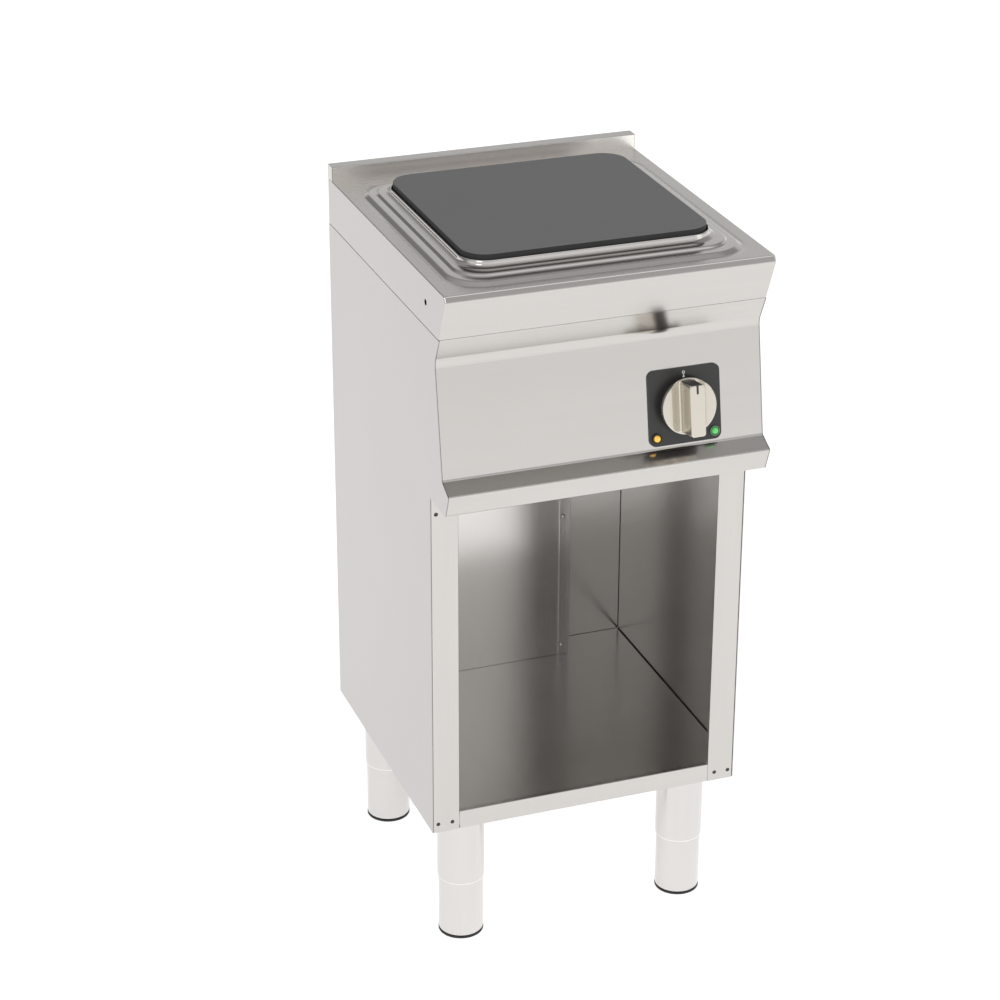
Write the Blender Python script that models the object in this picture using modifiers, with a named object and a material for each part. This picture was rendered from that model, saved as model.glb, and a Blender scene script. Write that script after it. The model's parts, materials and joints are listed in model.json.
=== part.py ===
"""Free-standing electric hot plate range: one square cast plate on an open cabinet.

Metres, +Z up. The origin is the middle of the object's bounding box, on the floor.
-Y is the user's side. Depths are first written from the middle of the cabinet and
CENTRE_SHIFT then moves everything back by what the knob stands out in front.
"""
import math

import bmesh
import bpy
from mathutils import Matrix, Vector

# ---------------------------------------------------------------- driving dimensions
HALF_WIDTH = 0.200
REAR = 0.2235            # rear plane of the cabinet
CENTRE_SHIFT = 0.0078    # moves the whole object back, so that its box is centred on Y
SHEET = 0.001            # sheet steel
GAP = 0.0003             # clearance between neighbouring pieces
INSIDE = HALF_WIDTH - SHEET - GAP

CABINET_BOTTOM = 0.175
FLOOR_TOP = 0.1995
DECK_TOP = 0.641
SEAM = 0.8345            # lower edge of the worktop's skirts
WORKTOP_TOP = 0.8925
NOSE_BOTTOM = 0.8855
NOSE_FRONT = -0.2165     # the nose leans back a little above its lower edge
NOSE_LEAN = 0.004
UPSTAND_TOP = 0.9105
UPSTAND_DEPTH = 0.018

FRAME_FRONT = -0.1587    # front faces of the posts and the bottom rail
POST_WIDTH = 0.0348
POST_RETURN = 0.0152
POST_HEM = 0.005
RAIL_FLANGE = 0.006      # top and bottom flanges of the rails across the cabinet's foot
RAIL_UNDERSIDE = 0.626   # underside of the drip rail
DOOR_HOLE_RADIUS = 0.0025
DOOR_HOLES = ((0.0255, 0.1865), (0.0073, 0.1865), (0.0255, 0.604), (0.0073, 0.604))
JOINING_HOLE_RADIUS = 0.00375
JOINING_HOLE = (-0.1495, 0.8639)

# side profile of the front, from the seam under the worktop down to the drip rail
PANEL_TOP = (-0.1943, 0.8340)
PANEL_BEND = (-0.1782, 0.801)
PANEL_FOOT = (-0.2011, 0.665)
RAIL_NOSE = (-0.2232, 0.654)
RAIL_LOWER = (-0.2124, RAIL_UNDERSIDE)
PANEL_RADII = (0.022, 0.004, 0.002, 0.002)

PLATE_HALF = (0.150, 0.1485)
PLATE_CENTRE_Y = -0.0045
PLATE_TOP = 0.913
PLATE_THICKNESS = 0.018
PLATE_CORNER = 0.030
TERMINAL_Y = -0.090      # ceramic terminal under the plate
SENSOR_X = 0.1265        # thermostat bulb, beside the outer element
SENSOR_Y = -0.045

KNOB_X = 0.1005
KNOB_BELOW_BEND = 0.0875
KNOB_RADIUS = 0.0337
KNOB_RIM = 0.018         # heights above the control panel: rim, channels, underside, grip face
KNOB_CHANNEL = 0.0135
CHANNEL_FLOOR = (0.0085, 0.0115)   # from the knob's middle: the channel's flat floor
CHANNEL_TOP = 0.0225     # where the channel's slope reaches the rim
KNOB_UNDERSIDE = 0.012
KNOB_FACE = 0.042
GRIP_WIDTH = 0.0188
GRIP_LENGTH = 0.062
GRIP_CORNER = 0.0035
POINTER_SIZE = (0.0020, 0.0105, 0.0012)
BEZEL_SIZE = 0.0905
BEZEL_CENTRE = -0.0012   # the bezel's middle, below the knob's axis
BEZEL_CORNER = 0.0085
BEZEL_THICKNESS = 0.002
LAMP_OFFSET = 0.0365
LAMP_RADIUS = 0.0062

LEG_X = 0.148
LEG_YS = {"front": -0.1124, "rear": 0.1833}
SLEEVE_BOTTOM = 0.080
SLEEVE_RADIUS = 0.0295
FOOT_RADIUS = 0.0280
PAD_HEIGHT = 0.0032

SERVICE_Y = 0.178        # service cover in front of the supply duct
SERVICE_POST_X = (0.0925, 0.1085)
SERVICE_POST_FRONT = SERVICE_Y - 0.0015
POST_SCREW_X = 0.0972
POST_SCREW_HEIGHTS = {"post_screw_upper": 0.406, "post_screw_lower": 0.2145}
SUPPLY_XY = (-0.100, 0.2005)

COLLECTION = "hot_plate_range"


# ---------------------------------------------------------------- scene and materials
def clear_scene():
    for old in list(bpy.data.objects):
        bpy.data.objects.remove(old, do_unlink=True)


def new_collection(name):
    collection = bpy.data.collections.new(name)
    bpy.context.scene.collection.children.link(collection)
    return collection


def material(name, colour, roughness, metallic):
    made = bpy.data.materials.new(name)
    made.use_nodes = True
    shader = made.node_tree.nodes["Principled BSDF"]
    shader.inputs["Base Color"].default_value = (*colour, 1.0)
    shader.inputs["Roughness"].default_value = roughness
    shader.inputs["Metallic"].default_value = metallic
    return made


clear_scene()
PARTS = new_collection(COLLECTION)
CUTTERS = new_collection("cutters")
STEEL = material("satin_steel", (0.62, 0.61, 0.59), 0.32, 1.0)
ZINC = material("zinc_sheet", (0.50, 0.51, 0.52), 0.45, 1.0)
IRON = material("cast_iron", (0.13, 0.13, 0.13), 0.62, 0.6)
BLACK = material("black_plastic", (0.035, 0.033, 0.033), 0.38, 0.0)
CHAMPAGNE = material("champagne_knob", (0.66, 0.61, 0.52), 0.30, 0.9)
AMBER = material("amber_lens", (0.95, 0.52, 0.06), 0.18, 0.0)
GREEN = material("green_lens", (0.10, 0.62, 0.14), 0.18, 0.0)
LEG = material("leg_steel", (0.78, 0.77, 0.75), 0.28, 1.0)
RUBBER = material("black_rubber", (0.02, 0.02, 0.02), 0.7, 0.0)
BOARD = material("mineral_board", (0.72, 0.68, 0.60), 0.9, 0.0)
CERAMIC = material("ceramic", (0.85, 0.82, 0.76), 0.5, 0.0)
COPPER = material("copper", (0.72, 0.40, 0.25), 0.35, 1.0)
BROWN = material("brown_wire", (0.20, 0.08, 0.03), 0.5, 0.0)
BLUE = material("blue_wire", (0.04, 0.12, 0.45), 0.5, 0.0)
YELLOW = material("yellow_green_wire", (0.55, 0.60, 0.05), 0.5, 0.0)


# ---------------------------------------------------------------- modelling helpers
def centred(point):
    return Vector(point) + Vector((0.0, CENTRE_SHIFT, 0.0))


def add_part(name, mesh, look, location=(0.0, 0.0, 0.0), rotation=(0.0, 0.0, 0.0), parent=None):
    """Link a mesh or curve as a part. A part with a parent is placed in its parent's axes."""
    part = bpy.data.objects.new(name, mesh)
    PARTS.objects.link(part)
    mesh.materials.append(look)
    part.parent = parent
    part.location = location if parent else centred(location)
    part.rotation_euler = rotation
    return part


def axis_empty(name, location, rotation=(0.0, 0.0, 0.0)):
    empty = bpy.data.objects.new(name, None)
    PARTS.objects.link(empty)
    empty.location = centred(location)
    empty.rotation_euler = rotation
    return empty


def mesh_from(name, bm):
    bmesh.ops.recalc_face_normals(bm, faces=bm.faces)
    mesh = bpy.data.meshes.new(name)
    bm.to_mesh(mesh)
    bm.free()
    return mesh


def box_mesh(name, size):
    bm = bmesh.new()
    bmesh.ops.create_cube(bm, size=1.0, matrix=Matrix.Diagonal((*size, 1.0)))
    return mesh_from(name, bm)


def prism_mesh(name, outline, axis, low, high):
    """A flat outline drawn out along an axis."""
    bm = bmesh.new()
    face = bm.faces.new([bm.verts.new(PLANES[axis](a, b, low)) for a, b in outline])
    drawn = bmesh.ops.extrude_face_region(bm, geom=[face])["geom"]
    moved = [item for item in drawn if isinstance(item, bmesh.types.BMVert)]
    bmesh.ops.translate(bm, verts=moved, vec=Vector(PLANES[axis](0.0, 0.0, high - low)))
    return mesh_from(name, bm)


def cylinder_mesh(name, radius, length, segments):
    bm = bmesh.new()
    bmesh.ops.create_cone(bm, cap_ends=True, segments=segments, radius1=radius, radius2=radius, depth=length)
    return mesh_from(name, bm)


def bevel(part, width, segments=2):
    modifier = part.modifiers.new("rounded_edges", "BEVEL")
    modifier.width = width
    modifier.segments = segments
    modifier.limit_method = "ANGLE"
    return part


def box(name, low, high, look, parent=None, edge=0.0):
    low, high = Vector(low), Vector(high)
    part = add_part(name, box_mesh(name, high - low), look, (low + high) / 2, parent=parent)
    return bevel(part, edge) if edge else part


def cylinder(name, centre, radius, length, look, rotation=(0.0, 0.0, 0.0), parent=None, segments=24):
    mesh = cylinder_mesh(name, radius, length, segments)
    return add_part(name, mesh, look, centre, rotation, parent)


def turned(name, profile, look, location=(0.0, 0.0, 0.0), parent=None, steps=24):
    """Turn a profile of (radius, height) points, listed down its outer side, about Z."""
    bm = bmesh.new()
    verts = [bm.verts.new((radius, 0.0, height)) for radius, height in profile]
    closed = all(radius > 1e-6 for radius, _ in profile)
    for first, second in zip(verts, verts[1:] + verts[:1] if closed else verts[1:]):
        bm.edges.new((first, second))
    mesh = bpy.data.meshes.new(name)
    bm.to_mesh(mesh)
    bm.free()
    part = add_part(name, mesh, look, location, parent=parent)
    screw = part.modifiers.new("turn", "SCREW")
    screw.steps = steps
    screw.render_steps = steps
    screw.use_merge_vertices = True
    screw.merge_threshold = 0.00005
    return part


def fillet(points, radii):
    """Round the inner corners of an open outline: one radius for each corner."""
    rounded = [Vector(points[0])]
    for before, corner, after, radius in zip(points, points[1:], points[2:], radii):
        before, corner, after = Vector(before), Vector(corner), Vector(after)
        to_before = (before - corner).normalized()
        to_after = (after - corner).normalized()
        half_angle = to_before.angle(to_after) / 2
        reach = radius / math.tan(half_angle)
        centre = corner + (to_before + to_after).normalized() * radius / math.sin(half_angle)
        start = corner + to_before * reach - centre
        end = corner + to_after * reach - centre
        first, turn = math.atan2(start.y, start.x), start.angle(end)
        turn *= 1 if start.x * end.y > start.y * end.x else -1
        steps = 5 if radius > 0.01 else 2
        for step in range(steps + 1):
            angle = first + turn * step / steps
            rounded.append(centre + radius * Vector((math.cos(angle), math.sin(angle))))
    rounded.append(Vector(points[-1]))
    return rounded


PLANES = {
    "X": lambda a, b, along: (along, a, b),
    "Y": lambda a, b, along: (a, along, b),
    "Z": lambda a, b, along: (a, b, along),
}


def folded_sheet(name, outline, axis, low, high, look, side=-1.0, thickness=SHEET):
    """Draw an open outline out along an axis, then give the sheet its thickness on one side."""
    place = PLANES[axis]
    bm = bmesh.new()
    verts = [bm.verts.new(place(a, b, low)) for a, b in outline]
    edges = [bm.edges.new(pair) for pair in zip(verts, verts[1:])]
    drawn = bmesh.ops.extrude_edge_only(bm, edges=edges)["geom"]
    moved = [item for item in drawn if isinstance(item, bmesh.types.BMVert)]
    bmesh.ops.translate(bm, verts=moved, vec=Vector(place(0.0, 0.0, high - low)))
    mesh = bpy.data.meshes.new(name)
    bm.to_mesh(mesh)
    bm.free()
    part = add_part(name, mesh, look)
    solidify = part.modifiers.new("sheet", "SOLIDIFY")
    solidify.thickness = thickness
    solidify.offset = side
    solidify.use_even_offset = True
    return part


def rounded_rectangle(half_x, front, rear, radius, steps=5):
    """Corner arcs of a rounded rectangle, anticlockwise from the right front corner."""
    corners = ((half_x - radius, front + radius, -90), (half_x - radius, rear - radius, 0),
               (radius - half_x, rear - radius, 90), (radius - half_x, front + radius, 180))
    points = []
    for x, y, start in corners:
        for step in range(steps + 1):
            angle = math.radians(start + 90 * step / steps)
            points.append((x + radius * math.cos(angle), y + radius * math.sin(angle)))
    return points


def flat_plate(name, outline, thickness, look, location, rotation=(0.0, 0.0, 0.0), parent=None, hole=None):
    """A flat outline, with an optional hole outline, given its thickness about its own plane."""
    curve = bpy.data.curves.new(name, "CURVE")
    curve.dimensions = "2D"
    curve.fill_mode = "BOTH"
    curve.extrude = thickness / 2
    for loop in (outline, hole) if hole else (outline,):
        spline = curve.splines.new("POLY")
        spline.points.add(len(loop) - 1)
        spline.use_cyclic_u = True
        for point, (x, y) in zip(spline.points, loop):
            point.co = (x, y, 0.0, 1.0)
    return as_mesh(add_part(name, curve, look, location, rotation, parent))


def as_mesh(part):
    """Swap a curve for its welded mesh, in the same place."""
    bpy.context.view_layer.update()
    graph = bpy.context.evaluated_depsgraph_get()
    mesh = bpy.data.meshes.new_from_object(part.evaluated_get(graph))
    bm = bmesh.new()
    bm.from_mesh(mesh)
    bmesh.ops.remove_doubles(bm, verts=bm.verts, dist=0.00001)
    bmesh.ops.recalc_face_normals(bm, faces=bm.faces)
    bm.to_mesh(mesh)
    bm.free()
    name, parent, matrix = part.name, part.parent, part.matrix_world.copy()
    bpy.data.objects.remove(part, do_unlink=True)
    swapped = bpy.data.objects.new(name, mesh)
    PARTS.objects.link(swapped)
    swapped.parent = parent
    swapped.matrix_world = matrix
    return swapped


def wire(name, points, radius, look, resolution=4, bevel_resolution=2):
    curve = bpy.data.curves.new(name, "CURVE")
    curve.dimensions = "3D"
    curve.bevel_depth = radius
    curve.bevel_resolution = bevel_resolution
    curve.use_fill_caps = True
    curve.resolution_u = resolution
    spline = curve.splines.new("BEZIER")
    spline.bezier_points.add(len(points) - 1)
    for knot, place in zip(spline.bezier_points, points):
        knot.co = place
        knot.handle_left_type = knot.handle_right_type = "AUTO"
    return as_mesh(add_part(name, curve, look))


def cutter(name, mesh, location, rotation=(0.0, 0.0, 0.0), parent=None):
    tool = bpy.data.objects.new(name, mesh)
    CUTTERS.objects.link(tool)
    tool.parent = parent
    tool.location = location if parent else centred(location)
    tool.rotation_euler = rotation
    tool.hide_render = True
    tool.display_type = "WIRE"
    return tool


def combine(part, other, operation="DIFFERENCE"):
    modifier = part.modifiers.new(other.name, "BOOLEAN")
    modifier.operation = operation
    modifier.object = other
    modifier.solver = "EXACT"
    return part


def cut_round(part, name, location, radius, length=0.02, rotation=(0.0, 0.0, 0.0), parent=None):
    return combine(part, cutter(name, cylinder_mesh(name, radius, length, 20), location, rotation, parent))


def cut_box(part, name, location, size):
    return combine(part, cutter(name, box_mesh(name, size), location))


ALONG_X = (0.0, math.pi / 2, 0.0)
ALONG_Y = (math.pi / 2, 0.0, 0.0)


# ---------------------------------------------------------------- worktop and plate
def worktop():
    """A pressed pan: skirts, nose, stepped ring and a collar around the plate's hole."""
    sections = (
        # half width, front, rear, corner radius, height
        (HALF_WIDTH, PANEL_TOP[0], REAR, 0.002, SEAM),
        (HALF_WIDTH, NOSE_FRONT, REAR, 0.002, NOSE_BOTTOM),
        (HALF_WIDTH, NOSE_FRONT + NOSE_LEAN - 0.0006, REAR, 0.002, WORKTOP_TOP - 0.0010),
        (HALF_WIDTH - 0.0010, NOSE_FRONT + NOSE_LEAN, REAR - 0.0010, 0.002, WORKTOP_TOP),
        (0.1835, -0.200, 0.177, 0.044, WORKTOP_TOP),
        (0.1750, -0.190, 0.170, 0.040, WORKTOP_TOP + 0.0030),
        (0.1670, -0.178, 0.162, 0.036, WORKTOP_TOP + 0.0034),
        (0.1652, -0.1755, 0.160, 0.035, WORKTOP_TOP + 0.0062),
        (0.1580, -0.164, 0.153, 0.034, WORKTOP_TOP + 0.0068),
        (0.1545, -0.1575, 0.149, 0.033, WORKTOP_TOP + 0.0085),
        (0.1535, -0.1565, 0.1475, 0.033, WORKTOP_TOP + 0.0128),
        (0.1526, -0.1556, 0.1466, 0.0325, WORKTOP_TOP + 0.0138),
    )
    bm = bmesh.new()
    loops = []
    for half_x, front, rear, radius, height in sections:
        loops.append([bm.verts.new((x, y, height)) for x, y in rounded_rectangle(half_x, front, rear, radius)])
    for lower, upper in zip(loops, loops[1:]):
        for here in range(len(lower)):
            after = (here + 1) % len(lower)
            bm.faces.new((lower[here], lower[after], upper[after], upper[here]))
    part = add_part("worktop", mesh_from("worktop", bm), STEEL)
    solidify = part.modifiers.new("sheet", "SOLIDIFY")
    solidify.thickness = SHEET
    solidify.offset = -1.0
    cut_round(part, "joining_hole", (0.0, *JOINING_HOLE), JOINING_HOLE_RADIUS, 0.5, ALONG_X)


def upstand():
    """The folded rail along the rear edge, open below."""
    bm = bmesh.new()
    size = (2 * HALF_WIDTH, UPSTAND_DEPTH, UPSTAND_TOP - WORKTOP_TOP - GAP)
    bmesh.ops.create_cube(bm, size=1.0, matrix=Matrix.Diagonal((*size, 1.0)))
    underside = [face for face in bm.faces if face.normal.z < -0.5]
    bmesh.ops.delete(bm, geom=underside, context="FACES_ONLY")
    middle = (0.0, REAR - UPSTAND_DEPTH / 2, UPSTAND_TOP - size[2] / 2)
    part = add_part("rear_upstand", mesh_from("rear_upstand", bm), STEEL, middle)
    bevel(part, 0.0012)
    solidify = part.modifiers.new("sheet", "SOLIDIFY")
    solidify.thickness = SHEET
    solidify.offset = -1.0


def plate_outline(shrink, radius):
    half_y = PLATE_HALF[1] - shrink
    return rounded_rectangle(PLATE_HALF[0] - shrink, -half_y, half_y, radius)


def hot_plate():
    middle = (0.0, PLATE_CENTRE_Y, PLATE_TOP - PLATE_THICKNESS / 2)
    part = flat_plate("hot_plate", plate_outline(0.0, PLATE_CORNER), PLATE_THICKNESS, IRON, middle)
    bevel(part, 0.0012, 2)
    underside = PLATE_TOP - PLATE_THICKNESS

    gasket_height = 0.0030
    flat_plate("plate_gasket", plate_outline(0.003, 0.027), gasket_height, RUBBER,
               (0.0, PLATE_CENTRE_Y, underside - GAP - gasket_height / 2), hole=plate_outline(0.013, 0.018))
    frame_top = underside - 2 * GAP - gasket_height
    flat_plate("plate_support_frame", plate_outline(-0.020, 0.030), 0.002, ZINC,
               (0.0, PLATE_CENTRE_Y, frame_top - 0.001), hole=plate_outline(0.015, 0.016))


def heating_parts():
    """Elements, insulation, shield and the bolt and bar that draw the plate down."""
    element_z = PLATE_TOP - PLATE_THICKNESS - 0.0050
    for name, half, gap in (("heating_element_outer", 0.112, 0.018), ("heating_element_inner", 0.066, 0.007)):
        front, rear = PLATE_CENTRE_Y - half, PLATE_CENTRE_Y + half
        # the ring runs from the right front corner round to the left front corner
        ring = [(x, y, element_z) for x, y in rounded_rectangle(half, front, rear, 0.022, 3)]
        lead_in = [(gap, TERMINAL_Y, element_z), (gap, front, element_z)]
        lead_out = [(-gap, front, element_z), (-gap, TERMINAL_Y, element_z)]
        element(name, lead_in + ring + lead_out, 0.0042)

    board_top = element_z - 0.0050
    board_half = (0.126, 0.122)
    board = box("insulation_board", (-board_half[0], PLATE_CENTRE_Y - board_half[1], board_top - 0.010),
                (board_half[0], PLATE_CENTRE_Y + board_half[1], board_top), BOARD)
    shield_top = board_top - 0.010 - GAP
    shield = box("heat_shield", (-0.128, PLATE_CENTRE_Y - 0.124, shield_top - 0.0015),
                 (0.128, PLATE_CENTRE_Y + 0.124, shield_top), ZINC)
    bar_top = shield_top - 0.0015 - GAP
    bar = box("clamp_bar", (-0.165, PLATE_CENTRE_Y - 0.0125, bar_top - 0.004),
              (0.165, PLATE_CENTRE_Y + 0.0125, bar_top), ZINC)
    for part in (board, shield, bar):
        cut_round(part, "bolt_hole_" + part.name, (0.0, PLATE_CENTRE_Y, bar_top), 0.0052, 0.06)
    for part in (board, shield):
        cut_box(part, "terminal_slot_" + part.name, (0.0, TERMINAL_Y, shield_top), (0.056, 0.024, 0.06))

    bolt_top = PLATE_TOP - PLATE_THICKNESS - GAP
    head_top = bar_top - 0.004 - GAP
    turned("clamp_bolt", ((0.0, bolt_top), (0.004, bolt_top), (0.004, head_top), (0.0075, head_top),
                          (0.0075, head_top - 0.006), (0.0, head_top - 0.006)), ZINC,
           (0.0, PLATE_CENTRE_Y, 0.0), steps=12)
    terminal_top = element_z - 0.0042 - GAP
    box("ceramic_terminal", (-0.026, TERMINAL_Y - 0.010, terminal_top - 0.026),
        (0.026, TERMINAL_Y + 0.010, terminal_top), CERAMIC, edge=0.001)
    cylinder("sensor_bulb", (SENSOR_X, SENSOR_Y + 0.030, element_z), 0.003, 0.060, COPPER, ALONG_Y, segments=12)


def element(name, path, radius):
    """A sheathed heating rod along a list of points."""
    curve = bpy.data.curves.new(name, "CURVE")
    curve.dimensions = "3D"
    curve.bevel_depth = radius
    curve.bevel_resolution = 2
    curve.use_fill_caps = True
    spline = curve.splines.new("POLY")
    spline.points.add(len(path) - 1)
    for point, place in zip(spline.points, path):
        point.co = (*place, 1.0)
    as_mesh(add_part(name, curve, ZINC))


# ---------------------------------------------------------------- cabinet
def front_outline():
    corners = (PANEL_TOP, PANEL_BEND, PANEL_FOOT, RAIL_NOSE, RAIL_LOWER, (FRAME_FRONT, RAIL_UNDERSIDE))
    return fillet(corners, PANEL_RADII)


def side_panels():
    outline = [tuple(point) for point in front_outline()]
    outline += [(FRAME_FRONT, CABINET_BOTTOM), (REAR, CABINET_BOTTOM), (REAR, PANEL_TOP[1])]
    upright = Matrix(((0.0, 0.0, 1.0), (1.0, 0.0, 0.0), (0.0, 1.0, 0.0))).to_euler()
    for name, side in (("side_panel_left", -1), ("side_panel_right", 1)):
        flat_plate(name, outline, SHEET, STEEL, (side * (HALF_WIDTH - SHEET / 2), 0.0, 0.0), upright)


def back_panel():
    part = box("back_panel", (-INSIDE, REAR - SHEET, CABINET_BOTTOM), (INSIDE, REAR, PANEL_TOP[1]), STEEL)
    for number in range(6):
        x = -0.075 + 0.030 * number
        cut_box(part, f"vent_slot_{number}", (x, REAR, 0.752), (0.007, 0.02, 0.060))


def posts():
    inner, outer = HALF_WIDTH - POST_WIDTH, INSIDE
    for name, side in (("front_post_left", -1), ("front_post_right", 1)):
        outline = ((side * inner, FRAME_FRONT + POST_HEM), (side * inner, FRAME_FRONT),
                   (side * outer, FRAME_FRONT), (side * outer, FRAME_FRONT + POST_RETURN))
        part = folded_sheet(name, outline, "Z", CABINET_BOTTOM, RAIL_UNDERSIDE - GAP, STEEL, side)
        for number, (from_side, height) in enumerate(DOOR_HOLES):
            x = side * (HALF_WIDTH - from_side)
            cut_round(part, f"{name}_hole_{number}", (x, FRAME_FRONT, height), DOOR_HOLE_RADIUS, 0.02, ALONG_Y)


def frame_rails():
    span = HALF_WIDTH - POST_WIDTH - GAP
    front = ((FRAME_FRONT + RAIL_FLANGE, CABINET_BOTTOM), (FRAME_FRONT, CABINET_BOTTOM),
             (FRAME_FRONT, FLOOR_TOP), (FRAME_FRONT + RAIL_FLANGE, FLOOR_TOP))
    folded_sheet("bottom_rail_front", front, "X", -span, span, STEEL, -1.0)
    rear_face = REAR - SHEET - GAP
    rear = ((rear_face - RAIL_FLANGE, CABINET_BOTTOM), (rear_face, CABINET_BOTTOM),
            (rear_face, FLOOR_TOP - SHEET - GAP), (rear_face - RAIL_FLANGE, FLOOR_TOP - SHEET - GAP))
    folded_sheet("bottom_rail_rear", rear, "X", -INSIDE, INSIDE, ZINC, 1.0)
    cross_top = DECK_TOP - SHEET - GAP
    cross_front = FRAME_FRONT + POST_RETURN + GAP
    cross = ((cross_front + 0.018, cross_top), (cross_front, cross_top), (cross_front, 0.6145),
             (cross_front + 0.010, 0.6145))
    folded_sheet("front_cross_rail", cross, "X", -INSIDE, INSIDE, ZINC, 1.0)
    for name, side in (("worktop_rail_left", -1), ("worktop_rail_right", 1)):
        angle = ((side * INSIDE, 0.8145), (side * INSIDE, PANEL_TOP[1]), (side * 0.178, PANEL_TOP[1]))
        folded_sheet(name, angle, "Y", -0.150, REAR - SHEET - 2 * GAP, ZINC, -side)


def floor_and_deck():
    rear = REAR - SHEET - GAP
    between_returns = INSIDE - SHEET - GAP
    floor = box("floor_panel", (-between_returns, FRAME_FRONT + RAIL_FLANGE + GAP, FLOOR_TOP - SHEET),
                (between_returns, rear, FLOOR_TOP), STEEL)
    cut_round(floor, "gland_hole", (*SUPPLY_XY, FLOOR_TOP), 0.0105)
    deck = box("deck_panel", (-INSIDE, FRAME_FRONT + GAP, DECK_TOP - SHEET), (INSIDE, rear, DECK_TOP), STEEL)
    cut_box(deck, "wire_slot", (*SUPPLY_XY, DECK_TOP), (0.050, 0.016, 0.02))


def service_duct():
    """The cover and post that close off the supply cable's duct at the rear."""
    low, high = FLOOR_TOP + GAP, DECK_TOP - SHEET - GAP
    post_left, post_right = SERVICE_POST_X
    cover = ((-INSIDE, SERVICE_Y), (post_left - GAP, SERVICE_Y), (post_left - GAP, SERVICE_Y + 0.004))
    folded_sheet("service_cover", cover, "Z", low, high, STEEL, 1.0)
    rear = REAR - SHEET - GAP
    post = ((post_left, rear), (post_left, SERVICE_POST_FRONT), (post_right, SERVICE_POST_FRONT), (post_right, rear))
    folded_sheet("service_post", post, "Z", low, high, STEEL, 1.0)
    for name, height in POST_SCREW_HEIGHTS.items():
        head = turned(name, ((0.0, 0.0020), (0.0020, 0.0018), (0.0034, 0.0), (0.0, 0.0)), LEG,
                      (POST_SCREW_X, SERVICE_POST_FRONT - GAP, height), steps=12)
        head.rotation_euler = ALONG_Y


def supply_parts():
    x, y = SUPPLY_XY
    under = FLOOR_TOP - SHEET - GAP
    turned("cable_gland", ((0.0098, 0.2080), (0.0098, under), (0.0140, under), (0.0140, under - 0.0035),
                           (0.0130, under - 0.0040), (0.0130, 0.1795), (0.0100, 0.1765), (0.0060, 0.1765),
                           (0.0060, 0.2080)), BLACK, (x, y, 0.0), steps=20)
    turned("gland_nut", ((0.0145, 0.2045), (0.0145, FLOOR_TOP + GAP), (0.0102, FLOOR_TOP + GAP),
                         (0.0102, 0.2045)), BLACK, (x, y, 0.0), steps=20)
    box("terminal_block", (x - 0.030, 0.195, 0.300), (x + 0.030, REAR - SHEET - GAP, 0.340), CERAMIC, edge=0.001)
    rise = 0.3403
    wire("wire_live", ((x - 0.018, y, rise), (x - 0.018, y, 0.500), (x - 0.018, y, 0.640), (x - 0.005, 0.150, 0.690),
                       (0.060, 0.0, 0.690), (0.086, -0.110, 0.720), (0.086, -0.1505, 0.7205)), 0.0022, BROWN)
    wire("wire_neutral", ((x, y, rise), (x, y, 0.500), (x, y, 0.640), (x, 0.150, 0.720),
                          (-0.030, 0.0, 0.790), (-0.010, TERMINAL_Y, 0.830), (-0.010, TERMINAL_Y, 0.8590)),
         0.0022, BLUE)
    wire("wire_earth", ((x + 0.018, y, rise), (x + 0.018, y, 0.500), (x + 0.018, y, 0.640), (x + 0.020, 0.170, 0.665),
                        (x + 0.030, 0.120, 0.655), (x + 0.035, 0.100, 0.6450)), 0.0022, YELLOW)


# ---------------------------------------------------------------- controls
def panel_point():
    """Where the knob's axis meets the control panel, and the panel's lean."""
    bend, foot = Vector(PANEL_BEND), Vector(PANEL_FOOT)
    upward = (bend - foot).normalized()
    place = bend - upward * KNOB_BELOW_BEND
    lean = math.atan2(upward.y, upward.x)
    return (KNOB_X, place.x, place.y), lean


def controls():
    place, lean = panel_point()
    front = axis_empty("panel_face", place, (lean, 0.0, 0.0))
    knob_axis = axis_empty("knob_axis", place, (lean, 0.0, 0.0))

    half = HALF_WIDTH - SHEET - GAP
    panel = folded_sheet("control_panel", front_outline(), "X", -half, half, STEEL, 1.0)
    openings = [("shaft", 0.0, 0.0, 0.0060)]
    openings += [(name, side * LAMP_OFFSET, -LAMP_OFFSET, 0.0050) for name, side in (("amber", -1), ("green", 1))]
    size = BEZEL_SIZE / 2
    bezel = flat_plate("bezel_plate", rounded_rectangle(size, -size, size, BEZEL_CORNER), BEZEL_THICKNESS, BLACK,
                       (0.0, BEZEL_CENTRE, GAP + BEZEL_THICKNESS / 2), parent=front)
    for name, x, y, radius in openings:
        for part in (panel, bezel):
            cut_round(part, f"{name}_hole_{part.name}", (x, y, 0.0), radius, 0.012, parent=front)

    lamp_base = GAP * 2 + BEZEL_THICKNESS
    for name, side, look in (("amber", -1, AMBER), ("green", 1, GREEN)):
        spot = (side * LAMP_OFFSET, -LAMP_OFFSET, 0.0)
        turned(f"lamp_{name}_body", ((LAMP_RADIUS, lamp_base + 0.0022), (LAMP_RADIUS, lamp_base),
                                     (0.0046, lamp_base), (0.0046, -0.020), (0.0026, -0.020),
                                     (0.0026, -0.006), (0.0036, -0.004), (0.0046, lamp_base + 0.0022)),
               BLACK, spot, front, 14)
        lens_seat = -0.0035
        turned(f"lamp_{name}_lens", ((0.0, lamp_base + 0.0042), (0.0024, lamp_base + 0.0036),
                                     (0.0040, lamp_base + 0.0022), (0.0031, lens_seat), (0.0, lens_seat)),
               look, spot, front, 14)

    knob(knob_axis)
    turned("thermostat_body", ((0.0, -0.0016), (0.0055, -0.0016), (0.0055, -0.004), (0.0205, -0.004),
                               (0.0205, -0.030), (0.0, -0.030)), BLACK, parent=front, steps=24)


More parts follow.
